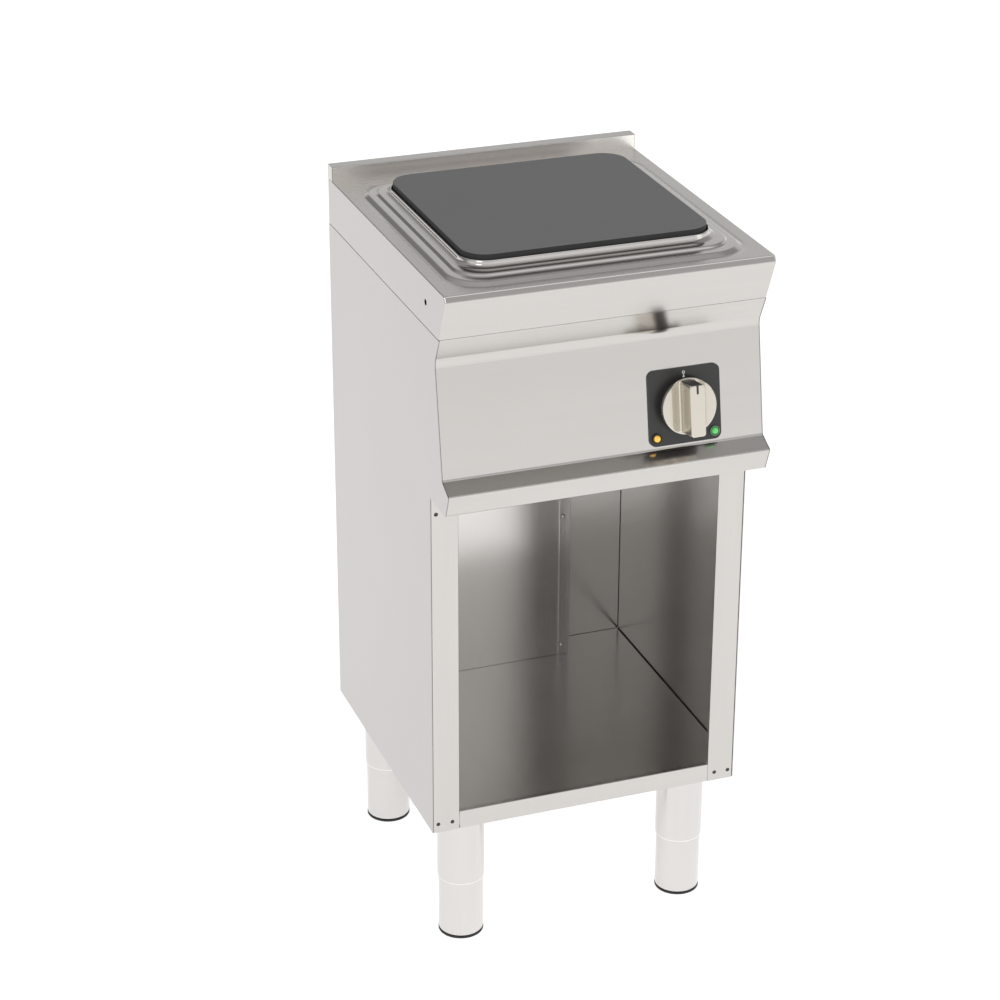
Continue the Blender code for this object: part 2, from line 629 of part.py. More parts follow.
def knob(axis):
    """The turning knob: a cap with a sloped channel on each side of its grip bar, a skirt and a pointer."""
    cap = turned("knob", ((0.0, KNOB_RIM), (0.0325, KNOB_RIM), (KNOB_RADIUS, KNOB_RIM - 0.0010),
                          (KNOB_RADIUS, KNOB_UNDERSIDE + 0.0008), (0.0330, KNOB_UNDERSIDE), (0.0, KNOB_UNDERSIDE)),
                 CHAMPAGNE, parent=axis, steps=32)
    for name, side in (("channel_left", -1), ("channel_right", 1)):
        outline = [(side * x, z) for x, z in ((CHANNEL_FLOOR[0], KNOB_FACE), (CHANNEL_FLOOR[0], KNOB_CHANNEL),
                                              (CHANNEL_FLOOR[1], KNOB_CHANNEL), (CHANNEL_TOP, KNOB_RIM),
                                              (CHANNEL_TOP, KNOB_FACE))]
        combine(cap, cutter(name, prism_mesh(name, outline, "Y", -0.04, 0.04), (0.0, 0.0, 0.0), parent=axis))
    grip_low = KNOB_CHANNEL - 0.0005
    outline = rounded_rectangle(GRIP_WIDTH / 2, -GRIP_LENGTH / 2, GRIP_LENGTH / 2, GRIP_CORNER, 3)
    grip = flat_plate("knob_grip", outline, KNOB_FACE - grip_low, CHAMPAGNE,
                      (0.0, 0.0, (KNOB_FACE + grip_low) / 2), parent=axis)
    bevel(grip, 0.0010, 2)
    PARTS.objects.unlink(grip)
    CUTTERS.objects.link(grip)
    grip.hide_render = True
    grip.display_type = "WIRE"
    combine(cap, grip, "UNION")
    width, length, depth = POINTER_SIZE
    end = GRIP_LENGTH / 2
    past_end = 0.002
    slot = cutter("pointer_slot", box_mesh("pointer_slot", (width + 2 * GAP, length + past_end, 2 * (depth + GAP))),
                  (0.0, end - GAP - (length - past_end) / 2, KNOB_FACE), parent=axis)
    combine(cap, slot)
    box("pointer_mark", (-width / 2, end - length, KNOB_FACE - depth), (width / 2, end, KNOB_FACE), BLACK, axis)
    skirt_low, skirt_top = BEZEL_THICKNESS + 0.0010, KNOB_UNDERSIDE - GAP
    turned("knob_skirt", ((0.0034, skirt_top), (0.0310, skirt_top), (0.0318, skirt_top - 0.001),
                          (0.0322, skirt_low), (0.0300, skirt_low), (0.0292, skirt_top - 0.003),
                          (0.0070, skirt_top - 0.003), (0.0070, 0.0045), (0.0034, 0.0045)), BLACK,
           parent=axis, steps=32)
    shaft_low, shaft_top = -0.0013, KNOB_UNDERSIDE - GAP
    cylinder("knob_shaft", (0.0, 0.0, (shaft_low + shaft_top) / 2), 0.0030, shaft_top - shaft_low, ZINC, parent=axis,
             segments=16)


def limiter():
    """Safety cut-out on the deck and the thermostat's capillary to its bulb under the plate."""
    deck = DECK_TOP + GAP
    box("safety_limiter", (-0.160, -0.060, deck), (-0.125, -0.020, deck + 0.028), BLACK, edge=0.001)
    z = PLATE_TOP - PLATE_THICKNESS - 0.0050
    wire("capillary_tube", ((SENSOR_X, SENSOR_Y - GAP, z), (SENSOR_X + 0.001, -0.070, z), (0.1300, -0.095, z),
                            (0.1315, -0.105, z - 0.012), (0.1290, -0.108, 0.840), (0.1150, -0.130, 0.760),
                            (0.1040, -0.1525, 0.7220)), 0.0010, COPPER, 3)


# ---------------------------------------------------------------- legs
def legs():
    sleeve_top = FLOOR_TOP - SHEET - 2 * GAP
    inner = FOOT_RADIUS + 0.0004
    tube_top, tube_low = 0.150, PAD_HEIGHT + GAP
    for where, y in LEG_YS.items():
        for hand, side in (("left", -1), ("right", 1)):
            spot = (side * LEG_X, y, 0.0)
            turned(f"leg_sleeve_{where}_{hand}",
                   ((0.0, sleeve_top), (SLEEVE_RADIUS, sleeve_top), (SLEEVE_RADIUS, SLEEVE_BOTTOM + 0.0025),
                    (SLEEVE_RADIUS - 0.0006, SLEEVE_BOTTOM), (inner, SLEEVE_BOTTOM), (inner, sleeve_top - 0.003),
                    (0.0, sleeve_top - 0.003)), LEG, spot)
            foot_axis = axis_empty(f"foot_axis_{where}_{hand}", spot)
            turned(f"foot_tube_{where}_{hand}",
                   ((0.0262, tube_top), (FOOT_RADIUS, tube_top), (FOOT_RADIUS, tube_low + 0.0015),
                    (FOOT_RADIUS - 0.0010, tube_low), (0.0, tube_low), (0.0, tube_low + 0.004),
                    (0.0262, tube_low + 0.004), (0.0262, tube_top)), LEG, parent=foot_axis)
            turned(f"foot_pad_{where}_{hand}",
                   ((0.0, PAD_HEIGHT), (0.0283, PAD_HEIGHT), (0.0283, 0.0008), (0.0276, 0.0), (0.0, 0.0)),
                   RUBBER, parent=foot_axis)


def shade_round_parts():
    for part in PARTS.objects:
        if part.type == "MESH":
            part.data.shade_smooth()
            part.data.set_sharp_from_angle(angle=math.radians(32))


worktop()
upstand()
hot_plate()
heating_parts()
side_panels()
back_panel()
posts()
frame_rails()
floor_and_deck()
service_duct()
supply_parts()
controls()
limiter()
legs()
shade_round_parts()
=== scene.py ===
"""Looks of the free-standing hot plate range: fine surfaces, materials, light and camera.

Metres, +Z up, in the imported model's frame. Depths are written from the middle of the cabinet,
as in the CAD source, and MIDDLE_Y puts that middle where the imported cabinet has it.
"""
import json
import math

import bmesh
import bpy
from mathutils import Matrix, Vector

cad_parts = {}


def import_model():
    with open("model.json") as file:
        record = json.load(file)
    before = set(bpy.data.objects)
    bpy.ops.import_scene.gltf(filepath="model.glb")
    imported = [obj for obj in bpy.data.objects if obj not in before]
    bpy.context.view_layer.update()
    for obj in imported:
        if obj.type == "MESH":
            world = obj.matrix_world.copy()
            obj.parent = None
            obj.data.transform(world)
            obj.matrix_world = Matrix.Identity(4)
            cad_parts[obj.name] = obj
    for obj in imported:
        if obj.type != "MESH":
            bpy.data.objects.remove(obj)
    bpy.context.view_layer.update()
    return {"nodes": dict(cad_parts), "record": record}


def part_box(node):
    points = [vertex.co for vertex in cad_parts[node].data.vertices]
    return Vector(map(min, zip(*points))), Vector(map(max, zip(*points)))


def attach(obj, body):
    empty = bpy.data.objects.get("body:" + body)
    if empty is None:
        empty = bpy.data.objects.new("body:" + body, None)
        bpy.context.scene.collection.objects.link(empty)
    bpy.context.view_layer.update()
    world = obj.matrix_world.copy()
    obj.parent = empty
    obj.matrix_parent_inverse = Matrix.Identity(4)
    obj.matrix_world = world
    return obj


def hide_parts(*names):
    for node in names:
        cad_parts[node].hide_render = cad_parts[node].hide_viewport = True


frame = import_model()

# ---------------------------------------------------------------- sizes from the frame
SIDE_LOW, SIDE_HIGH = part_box("side_panel_right")
TOP_LOW, TOP_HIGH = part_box("worktop")
PLATE_LOW, PLATE_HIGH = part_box("hot_plate")
POST_LOW, POST_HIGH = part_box("front_post_right")
FLOOR_LOW, FLOOR_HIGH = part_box("floor_panel")
DECK_LOW, DECK_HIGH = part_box("deck_panel")
UPSTAND_LOW, UPSTAND_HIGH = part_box("rear_upstand")

HALF_DEPTH = 0.2235
MIDDLE_Y = SIDE_HIGH.y - HALF_DEPTH
HALF_WIDTH = SIDE_HIGH.x
SHEET = 0.001
GAP = 0.0003
INSIDE = HALF_WIDTH - SHEET - GAP
CABINET_BOTTOM = SIDE_LOW.z
FRAME_FRONT = POST_LOW.y - MIDDLE_Y
POST_INNER = POST_LOW.x
POST_RETURN = POST_HIGH.y - POST_LOW.y
SEAM = 0.0009            # open line under the worktop's side skirts
WORKTOP_TOP = 0.8925
NOSE_BOTTOM = 0.8855
NOSE_LEAN = 0.004

# side profile of the front: top of the panel, bend, foot, rail nose, rail lower edge
PANEL_TOP = (-0.1943, 0.8341)
PANEL_BEND = (-0.1782, 0.801)
PANEL_FOOT = (-0.2011, 0.665)
RAIL_NOSE = (-0.2232, 0.654)
RAIL_LOWER = (-0.2124, SIDE_LOW.z + 0.451)
PANEL_RADII = (0.022, 0.004, 0.002, 0.002)

# the pressed pan, from its lower edge over the nose and the stepped ring up to the collar:
# half width, front, rear, corner radius, height
PAN_SECTIONS = (
    (TOP_HIGH.x, PANEL_TOP[0], TOP_HIGH.y - MIDDLE_Y, 0.0020, TOP_LOW.z),
    (TOP_HIGH.x, TOP_LOW.y - MIDDLE_Y, TOP_HIGH.y - MIDDLE_Y, 0.0020, NOSE_BOTTOM),
    (TOP_HIGH.x, TOP_LOW.y - MIDDLE_Y + NOSE_LEAN, TOP_HIGH.y - MIDDLE_Y, 0.0020, WORKTOP_TOP),
    (0.1835, -0.2000, 0.1770, 0.0440, WORKTOP_TOP),
    (0.1810, -0.1970, 0.1750, 0.0430, WORKTOP_TOP - 0.0008),
    (0.1750, -0.1900, 0.1700, 0.0400, WORKTOP_TOP + 0.0030),
    (0.1670, -0.1780, 0.1620, 0.0360, WORKTOP_TOP + 0.0034),
    (0.1652, -0.1755, 0.1600, 0.0350, WORKTOP_TOP + 0.0062),
    (0.1580, -0.1640, 0.1530, 0.0340, WORKTOP_TOP + 0.0068),
    (0.1545, -0.1575, 0.1490, 0.0330, WORKTOP_TOP + 0.0085),
    (0.1535, -0.1565, 0.1475, 0.0330, WORKTOP_TOP + 0.0128),
    (0.1526, -0.1556, 0.1466, 0.0325, WORKTOP_TOP + 0.0138),
)
PLATE_CORNER = 0.030
PLATE_EDGE = 0.0008

# holes, all through the sheets
JOINING_HOLE_RADIUS = 0.00375
JOINING_HOLE_AT = (0.0, -0.1495, 0.8639)
DOOR_HOLE_RADIUS = 0.0025
DOOR_HOLES_FROM_SIDE = (0.0255, 0.0073)
DOOR_HOLE_HEIGHTS = (0.1865, 0.604)
VENT_COUNT = 6
VENT_PITCH = 0.030
FIRST_VENT_X = -0.075
VENT_HEIGHT = 0.752
VENT_HALF_SIZE = (0.0035, 0.030)
VENT_CORNER = 0.0034
GLAND_AT = (-0.100, 0.2005)
GLAND_HOLE_RADIUS = 0.0105
WIRE_SLOT = (-0.125, 0.1925, -0.075, 0.2085)  # left, front, right and rear of the slot in the deck

# folds and edges of the sheets
FRONT_FOLD = 0.0012
REAR_FOLD = 0.0008
FOLD_FACET = 0.0003
HEM = 0.005              # return along the inner edge of each front post
CUT_EDGE = 0.0002        # rounding of the edges of the large sheets, and of the narrow folded ones
FOLDED_EDGE = 0.00015
BEVEL_FROM = 30          # degrees between two faces: rounded above this, shaded smooth up to the other
SMOOTH_UP_TO = 38

KNOB_BELOW_BEND = 0.0875
KNOB_RADIUS = 0.0337
KNOB_RIM = 0.018         # heights above the control panel: rim, channels, underside, grip face
KNOB_CHANNEL = 0.0135
KNOB_UNDERSIDE = 0.012
KNOB_FACE = 0.042
CHANNEL_FLOOR = 0.0115   # from the knob's middle: end of the channel's flat floor, and its slope's top
CHANNEL_TOP = 0.0225
CHANNEL_STRIPS = 12
GRIP_WIDTH = 0.0188
GRIP_LENGTH = 0.062
GRIP_CORNER = 0.0035
GRIP_CROWN = 0.0010
POINTER_SIZE = (0.0020, 0.0105, 0.0012)
SKIRT_WALL = 0.003
BEZEL_SIZE = 0.0905
BEZEL_CORNER = 0.0085
BEZEL_CENTRE = -0.0012
BEZEL_THICKNESS = 0.002
LAMP_OFFSET = 0.0365
LAMP_RADIUS = 0.0062
LAMP_TAIL = -0.020       # how far the lamp's body reaches behind the panel
SHAFT_HOLE_RADIUS = 0.0060
LAMP_HOLE_RADIUS = 0.0050
PRINT_HEIGHT = 0.00012
ZERO_MIDDLE = 0.0382     # up the panel from the knob's axis
ZERO_RINGS = ((0.0017, 0.0021), (0.0008, 0.0012))
TICK_RUN = (0.0325, 0.0356)
TICK_HALF_WIDTHS = (0.0016, 0.0004)

SERVICE_Y = 0.178
SERVICE_POST_X = (0.0925, 0.1085)
SERVICE_POST_FRONT = SERVICE_Y - 0.0015
JOINT = 0.0006           # open line left where two sheets meet inside the cabinet
SCREW_HEIGHTS = {"post_screw_upper": 0.406, "post_screw_lower": 0.2145}
SCREW_HEAD = ((0.0, 0.0020), (0.0010, 0.00195), (0.0020, 0.0017), (0.0029, 0.0010), (0.0033, 0.0003),
              (0.0034, 0.0), (0.0, 0.0))
CROSS_SLOT = (0.0016, 0.0003)  # half length and half width
CROSS_SLOT_FLOOR = 0.0012

SLEEVE_BORE = 0.0284
SLEEVE_LID = 0.003
SLEEVE_LIP = 0.0014      # height of the band at the sleeve's foot that carries a painted highlight
TUBE_BORE = 0.0262
TUBE_FLOOR = 0.004

# light: greys of the surround as (height, grey), from 0 straight down to 1 straight up
SURROUND_FRONT = ((0.49, 1.0), (0.58, 0.88), (0.72, 0.76), (0.77, 0.55), (0.84, 0.58), (0.92, 0.90),
                  (1.0, 0.60))
SURROUND_BACK_RIGHT = ((0.49, 1.0), (0.53, 1.0), (0.56, 0.68), (0.72, 0.66), (0.755, 0.34),
                       (0.88, 0.34), (1.0, 0.55))
SURROUND_BACK_LEFT = ((0.49, 1.0), (0.53, 1.0), (0.56, 0.20), (0.70, 0.20), (0.80, 0.34), (1.0, 0.55))
LEFT_TO_RIGHT = (-0.2, 0.1)    # where one part of the surround turns into the next, along X and along Y
FRONT_TO_BACK = (-0.25, 0.15)
COLOUR_A, COLOUR_B, COLOUR_RESULT = 6, 7, 2  # the Mix node's colour sockets
# place, target, size and power of each softbox
SOFTBOXES = {
    "key": ((-2.2, -2.4, 3.2), (0.0, 0.0, 0.6), (1.1, 1.1), 20.0),
    "fill": ((2.6, -1.8, 2.2), (0.0, 0.0, 0.5), (1.4, 2.0), 6.0),
}
FLOOR_REACH = 12.0
FLOOR_GLOW = 0.62

CAMERA_AT = (-1.1304, -2.9205, 1.9890)
CAMERA_ANGLES = (-20.153, 25.048, 0.169)  # azimuth, elevation and roll
CAMERA_LENS = 100.8      # mm, on a film 36 mm wide
CAMERA_FILM = 36.0


# ---------------------------------------------------------------- materials
class Look:
    """A Principled material with helpers that add procedural detail to it."""

    def __init__(self, name, metallic=0.0, **sockets):
        self.material = bpy.data.materials.new(name)
        self.material.use_nodes = True
        self.tree = self.material.node_tree
        self.shader = self.tree.nodes["Principled BSDF"]
        self.shader.inputs["Metallic"].default_value = metallic
        for socket, value in sockets.items():
            self.shader.inputs[socket.replace("_", " ")].default_value = value
        self.place = self.tree.nodes.new("ShaderNodeTexCoord").outputs["Object"]

    def noise(self, stretch, detail=3.0, roughness=0.55):
        """Noise with this many features per metre along X, Y and Z."""
        mapping = self.tree.nodes.new("ShaderNodeMapping")
        mapping.inputs["Scale"].default_value = stretch
        texture = self.tree.nodes.new("ShaderNodeTexNoise")
        texture.inputs["Scale"].default_value = 1.0
        texture.inputs["Detail"].default_value = detail
        texture.inputs["Roughness"].default_value = roughness
        self.tree.links.new(self.place, mapping.inputs["Vector"])
        self.tree.links.new(mapping.outputs["Vector"], texture.inputs["Vector"])
        return texture.outputs["Fac"]

    def blend(self, first, second, share):
        """A mix of two values; the share is the second one's."""
        mix = self.tree.nodes.new("ShaderNodeMix")
        mix.inputs["Factor"].default_value = share
        self.tree.links.new(first, mix.inputs["A"])
        self.tree.links.new(second, mix.inputs["B"])
        return mix.outputs["Result"]

    def colour(self, factor, dark, light, low=0.3, high=0.7):
        """Base colour that goes from dark to light with a noise."""
        ramp = self.tree.nodes.new("ShaderNodeValToRGB")
        ramp.color_ramp.elements[0].position = low
        ramp.color_ramp.elements[0].color = (*dark, 1.0)
        ramp.color_ramp.elements[1].position = high
        ramp.color_ramp.elements[1].color = (*light, 1.0)
        self.tree.links.new(factor, ramp.inputs["Fac"])
        self.tree.links.new(ramp.outputs["Color"], self.shader.inputs["Base Color"])
        return self

    def roughness(self, factor, low, high):
        """Roughness that goes from low to high with a noise."""
        spread = self.tree.nodes.new("ShaderNodeMapRange")
        spread.inputs["From Min"].default_value = 0.3
        spread.inputs["From Max"].default_value = 0.7
        spread.inputs["To Min"].default_value = low
        spread.inputs["To Max"].default_value = high
        self.tree.links.new(factor, spread.inputs["Value"])
        self.tree.links.new(spread.outputs["Result"], self.shader.inputs["Roughness"])
        return self

    def bump(self, height, depth, strength=1.0):
        """Fine relief of this depth in metres."""
        bump = self.tree.nodes.new("ShaderNodeBump")
        bump.inputs["Strength"].default_value = strength
        bump.inputs["Distance"].default_value = depth
        self.tree.links.new(height, bump.inputs["Height"])
        self.tree.links.new(bump.outputs["Normal"], self.shader.inputs["Normal"])
        return self


def tinted(colour, share):
    """The colour made darker or lighter."""
    return tuple(channel * share for channel in colour)


def brushed(name, grain, colour, rough, depth=0.00001):
    """Satin sheet steel, ground along one axis, with faint cloudy variation."""
    look = Look(name, metallic=1.0)
    fine, bands, along, cloudy = 1400.0, 70.0, 9.0, 7.0
    streaks = look.noise(tuple(along if axis == grain else fine for axis in "XYZ"), 4.0, 0.6)
    broad = look.noise(tuple(along / 3 if axis == grain else bands for axis in "XYZ"), 2.0)
    clouds = look.noise((cloudy, cloudy, cloudy), 2.0)
    grain_mix = look.blend(streaks, broad, 0.35)
    look.colour(grain_mix, tinted(colour, 0.97), tinted(colour, 1.03))
    look.roughness(look.blend(grain_mix, clouds, 0.5), rough - 0.02, rough + 0.03)
    look.bump(streaks, depth, 0.5)
    return look.material


STEEL = (0.565, 0.545, 0.525)
INNER_STEEL = (0.680, 0.662, 0.640)
STEEL_X = brushed("steel_ground_along_x", "X", STEEL, 0.17)
STEEL_Y = brushed("steel_ground_along_y", "Y", STEEL, 0.17)
STEEL_Z = brushed("steel_ground_along_z", "Z", STEEL, 0.17)
# a lighter copy of the steel for the pan's flat top: painted light; its rougher grain is the top's own
# finish
STEEL_TOP_PAINTED_LIGHTER = brushed("steel_worktop_painted_lighter", "X", tinted(STEEL, 1.16), 0.27, 0.000005)
# a lighter copy of the steel for the pressed ring: painted light; its lower roughness is the ring's own
# finish
STEEL_RING_PAINTED_LIGHTER = brushed("steel_pressed_ring_painted_lighter", "X", tinted(STEEL, 1.10), 0.15, 0.000003)
# steel half again as light for the upstand's front, ends and underside: painted light
STEEL_UPSTAND_PAINTED_LIGHT = brushed("steel_upstand_painted_light", "X", tinted(STEEL, 1.50), 0.26)
STEEL_INSIDE = brushed("steel_inside", "Z", INNER_STEEL, 0.20, 0.000006)
STEEL_FLOOR = brushed("steel_floor", "Y", INNER_STEEL, 0.20, 0.000006)
# a darker copy of the steel for the sideways faces of the cabinet and the pan: painted shade
STEEL_SIDE_PAINTED_SHADE = brushed("steel_side_painted_shade", "Z", (0.455, 0.436, 0.428), 0.22)
LEG = brushed("leg_steel", "Z", (0.64, 0.62, 0.605), 0.24)
# near-white steel on the nose's top edge and the sleeves' foot: a painted highlight
PAINTED_HIGHLIGHT_STEEL = brushed("painted_highlight_steel", "X", (0.90, 0.88, 0.86), 0.16)


def zinc_look():
    """Galvanised sheet: grey spangle of broad crystals under a satin finish."""
    look = Look("zinc_sheet", metallic=1.0)
    cells = look.tree.nodes.new("ShaderNodeTexVoronoi")
    cells.inputs["Scale"].default_value = 90.0
    look.tree.links.new(look.place, cells.inputs["Vector"])
    dust = look.noise((220.0, 220.0, 220.0))
    mixed = look.blend(cells.outputs["Distance"], dust, 0.6)
    look.colour(mixed, (0.40, 0.41, 0.42), (0.55, 0.56, 0.57))
    return look.roughness(mixed, 0.38, 0.52).bump(dust, 0.00002, 0.4).material


def iron_look(name, dark, light):
    """Blackened cast plate with a fine ground face."""
    look = Look(name, metallic=0.35, Specular_IOR_Level=0.4)
    pits = look.noise((2600.0, 2600.0, 2600.0), 4.0, 0.7)
    grain = look.noise((40.0, 1800.0, 900.0), 3.0)
    stains = look.noise((9.0, 9.0, 9.0), 3.0)
    look.colour(look.blend(pits, stains, 0.5), dark, light)
    look.roughness(look.blend(grain, stains, 0.5), 0.50, 0.62)
    return look.bump(look.blend(pits, grain, 0.5), 0.00003, 0.5).material


def moulded_look(name, colour, rough, grain_depth=0.00002, **sockets):
    """Moulded plastic or rubber with a fine spark-eroded texture."""
    look = Look(name, **sockets)
    texture = look.noise((1800.0, 1800.0, 1800.0), 2.0)
    clouds = look.noise((30.0, 30.0, 30.0), 2.0)
    look.colour(look.blend(texture, clouds, 0.4), tinted(colour, 0.85), tinted(colour, 1.15))
    look.roughness(clouds, rough - 0.05, rough + 0.05)
    return look.bump(texture, grain_depth, 0.5).material


def champagne_look():
    """Satin anodised knob."""
    look = Look("champagne_knob", metallic=0.85)
    lines = look.noise((2400.0, 2400.0, 60.0), 3.0)
    clouds = look.noise((25.0, 25.0, 25.0), 2.0)
    look.colour(look.blend(lines, clouds, 0.5), (0.635, 0.595, 0.525), (0.675, 0.635, 0.565))
    return look.roughness(clouds, 0.22, 0.30).bump(lines, 0.000004, 0.4).material


def lens_look(name, dark, light, glow):
    """A tinted, faceted lens with a clear coat, lit from behind."""
    look = Look(name, Coat_Weight=0.6, Coat_Roughness=0.06, Emission_Strength=glow,
                Emission_Color=(*light, 1.0))
    facets = look.noise((700.0, 700.0, 700.0), 1.0)
    look.colour(facets, dark, light)
    return look.roughness(facets, 0.12, 0.22).bump(facets, 0.00008, 0.4).material


def fibrous_look():
    """Pressed mineral wool with its fibres across the board."""
    look = Look("mineral_board")
    fibres = look.noise((900.0, 200.0, 900.0), 5.0, 0.7)
    look.colour(fibres, (0.60, 0.56, 0.48), (0.78, 0.74, 0.66))
    return look.roughness(fibres, 0.85, 0.95).bump(fibres, 0.0004, 0.7).material


def copper_look():
    """Drawn copper, dulled in patches."""
    look = Look("copper_tube", metallic=1.0)
    tarnish = look.noise((160.0, 160.0, 160.0), 3.0)
    look.colour(tarnish, (0.52, 0.27, 0.16), (0.78, 0.45, 0.29))
    return look.roughness(tarnish, 0.28, 0.42).bump(tarnish, 0.00002, 0.4).material


BLACK = moulded_look("black_plastic", (0.026, 0.025, 0.024), 0.34)
LOOKS = {
    "satin_steel": STEEL_INSIDE,
    "zinc_sheet": zinc_look(),
    "cast_iron": iron_look("cast_iron_face", (0.176, 0.176, 0.177), (0.214, 0.214, 0.215)),
    "black_plastic": BLACK,
    "champagne_knob": champagne_look(),
    "amber_lens": lens_look("amber_lens", (0.80, 0.36, 0.03), (0.98, 0.58, 0.10), 0.35),
    "green_lens": lens_look("green_lens", (0.05, 0.45, 0.08), (0.16, 0.72, 0.20), 0.22),
    "leg_steel": LEG,
    "black_rubber": moulded_look("black_rubber", (0.022, 0.022, 0.022), 0.7, 0.00006),
    "mineral_board": fibrous_look(),
    "ceramic": moulded_look("ceramic", (0.82, 0.79, 0.73), 0.5, 0.00004),
    "copper": copper_look(),
    "brown_wire": moulded_look("brown_wire", (0.20, 0.08, 0.03), 0.45),
    "blue_wire": moulded_look("blue_wire", (0.04, 0.12, 0.45), 0.45),
    "yellow_green_wire": moulded_look("yellow_green_wire", (0.50, 0.58, 0.05), 0.45),
}
IRON_SIDE = iron_look("cast_iron_side", (0.034, 0.033, 0.033), (0.050, 0.049, 0.049))
GREEN_RIM = moulded_look("green_lamp_rim", (0.16, 0.27, 0.17), 0.3)
PRINT = moulded_look("white_print", (0.82, 0.82, 0.81), 0.5)


# ---------------------------------------------------------------- mesh helpers
AT_CABINET = Matrix.Translation((0.0, MIDDLE_Y, 0.0))
PLANES = {
    "X": lambda a, b, along: (along, a, b),
    "Y": lambda a, b, along: (a, along, b),
    "Z": lambda a, b, along: (a, b, along),
}


def mesh_of(name, bm, recalculate=True):
    """The finished mesh, with its faces turned outward unless it has no thickness yet."""
    if recalculate:
        bmesh.ops.recalc_face_normals(bm, faces=bm.faces)
    mesh = bpy.data.meshes.new(name)
    bm.to_mesh(mesh)
    bm.free()
    return mesh


def slab(name, outline, axis, low, high):
    """A flat outline drawn out along an axis from low to high."""
    bm = bmesh.new()
    face = bm.faces.new([bm.verts.new(PLANES[axis](a, b, low)) for a, b in outline])
    drawn = bmesh.ops.extrude_face_region(bm, geom=[face])["geom"]
    moved = [item for item in drawn if isinstance(item, bmesh.types.BMVert)]
    bmesh.ops.translate(bm, verts=moved, vec=Vector(PLANES[axis](0.0, 0.0, high - low)))
    return mesh_of(name, bm)


def ribbon(name, outline, axis, low, high):
    """An open outline drawn out along an axis, with no thickness yet."""
    bm = bmesh.new()
    verts = [bm.verts.new(PLANES[axis](a, b, low)) for a, b in outline]
    edges = [bm.edges.new(pair) for pair in zip(verts, verts[1:])]
    drawn = bmesh.ops.extrude_edge_only(bm, edges=edges)["geom"]
    moved = [item for item in drawn if isinstance(item, bmesh.types.BMVert)]
    bmesh.ops.translate(bm, verts=moved, vec=Vector(PLANES[axis](0.0, 0.0, high - low)))
    return mesh_of(name, bm, recalculate=False)


def loft(name, loops):
    """Quads between equal closed loops of points."""
    bm = bmesh.new()
    rings = [[bm.verts.new(point) for point in loop] for loop in loops]
    for lower, upper in zip(rings, rings[1:]):
        for here in range(len(lower)):
            after = (here + 1) % len(lower)
            bm.faces.new((lower[here], lower[after], upper[after], upper[here]))
    return mesh_of(name, bm)


def turned(name, profile, steps=72):
    """A profile of (radius, height) points turned about Z; it closes on itself off the axis."""
    bm = bmesh.new()
    closed = all(radius > 0.0 for radius, _ in profile)
    columns = []
    for step in range(steps):
        angle = 2 * math.pi * step / steps
        columns.append([bm.verts.new((radius * math.cos(angle), radius * math.sin(angle), height))
                        for radius, height in profile])
    count = len(profile)
    for column, following in zip(columns, columns[1:] + columns[:1]):
        for here in range(count if closed else count - 1):
            after = (here + 1) % count
            bm.faces.new((column[here], column[after], following[after], following[here]))
    bmesh.ops.remove_doubles(bm, verts=bm.verts, dist=0.000002)
    return mesh_of(name, bm)


def fillet(points, radii, fine=0.0006):
    """Round the inner corners of an open outline, with at least 4 facets an arc, about this fine."""
    rounded = [Vector(points[0])]
    for before, corner, after, radius in zip(points, points[1:], points[2:], radii):
        before, corner, after = Vector(before), Vector(corner), Vector(after)
        to_before = (before - corner).normalized()
        to_after = (after - corner).normalized()
        half_angle = to_before.angle(to_after) / 2
        reach = radius / math.tan(half_angle)
        centre = corner + (to_before + to_after).normalized() * radius / math.sin(half_angle)
        start = corner + to_before * reach - centre
        end = corner + to_after * reach - centre
        first, turn = math.atan2(start.y, start.x), start.angle(end)
        turn *= 1 if start.x * end.y > start.y * end.x else -1
        steps = max(4, round(abs(turn) * radius / fine))
        for step in range(steps + 1):
            angle = first + turn * step / steps
            rounded.append(centre + radius * Vector((math.cos(angle), math.sin(angle))))
    rounded.append(Vector(points[-1]))
    return [tuple(point) for point in rounded]


def softened(sections, most=0.0016, steps=6):
    """Round each inner corner of a run of sections, in all their values at once.

    How far apart two sections are is measured between their fronts and heights.
    """
    runs = [sections[0]]
    for before, corner, after in zip(sections, sections[1:], sections[2:]):
        ends = []
        for other in (before, after):
            length = math.dist((other[1], other[4]), (corner[1], corner[4]))
            share = min(0.45, most / length)
            ends.append([c + (o - c) * share for c, o in zip(corner, other)])
        for step in range(steps + 1):
            t = step / steps
            weights = ((1 - t) ** 2, 2 * t * (1 - t), t ** 2)
            runs.append(tuple(sum(w * v for w, v in zip(weights, values))
                              for values in zip(ends[0], corner, ends[1])))
    return runs + [sections[-1]]


def rounded_rectangle(half_x, front, rear, radius, steps=16):
    """A rectangle's outline with round corners, from its right front corner on."""
    corners = ((half_x - radius, front + radius, -90), (half_x - radius, rear - radius, 0),
               (radius - half_x, rear - radius, 90), (radius - half_x, front + radius, 180))
    points = []
    for x, y, start in corners:
        for step in range(steps + 1):
            angle = math.radians(start + 90 * step / steps)
            points.append((x + radius * math.cos(angle), y + radius * math.sin(angle)))
    return points


def rectangle(low_a, low_b, high_a, high_b):
    return ((low_a, low_b), (high_a, low_b), (high_a, high_b), (low_a, high_b))


def cutter(mesh, matrix):
    """An object for a boolean, which piece() deletes after use."""
    tool = bpy.data.objects.new(mesh.name, mesh)
    bpy.context.scene.collection.objects.link(tool)
    tool.matrix_world = matrix
    return tool


def round_cutter(radius, length, matrix, steps=40):
    """A cylinder along the matrix's Z, centred on its origin."""
    half = length / 2
    profile = ((0.0, half), (radius, half), (radius, -half), (0.0, -half))
    return cutter(turned("cutter", profile, steps), matrix)


ALONG_X = Matrix.Rotation(math.pi / 2, 4, "Y")
ALONG_Y = Matrix.Rotation(math.pi / 2, 4, "X")


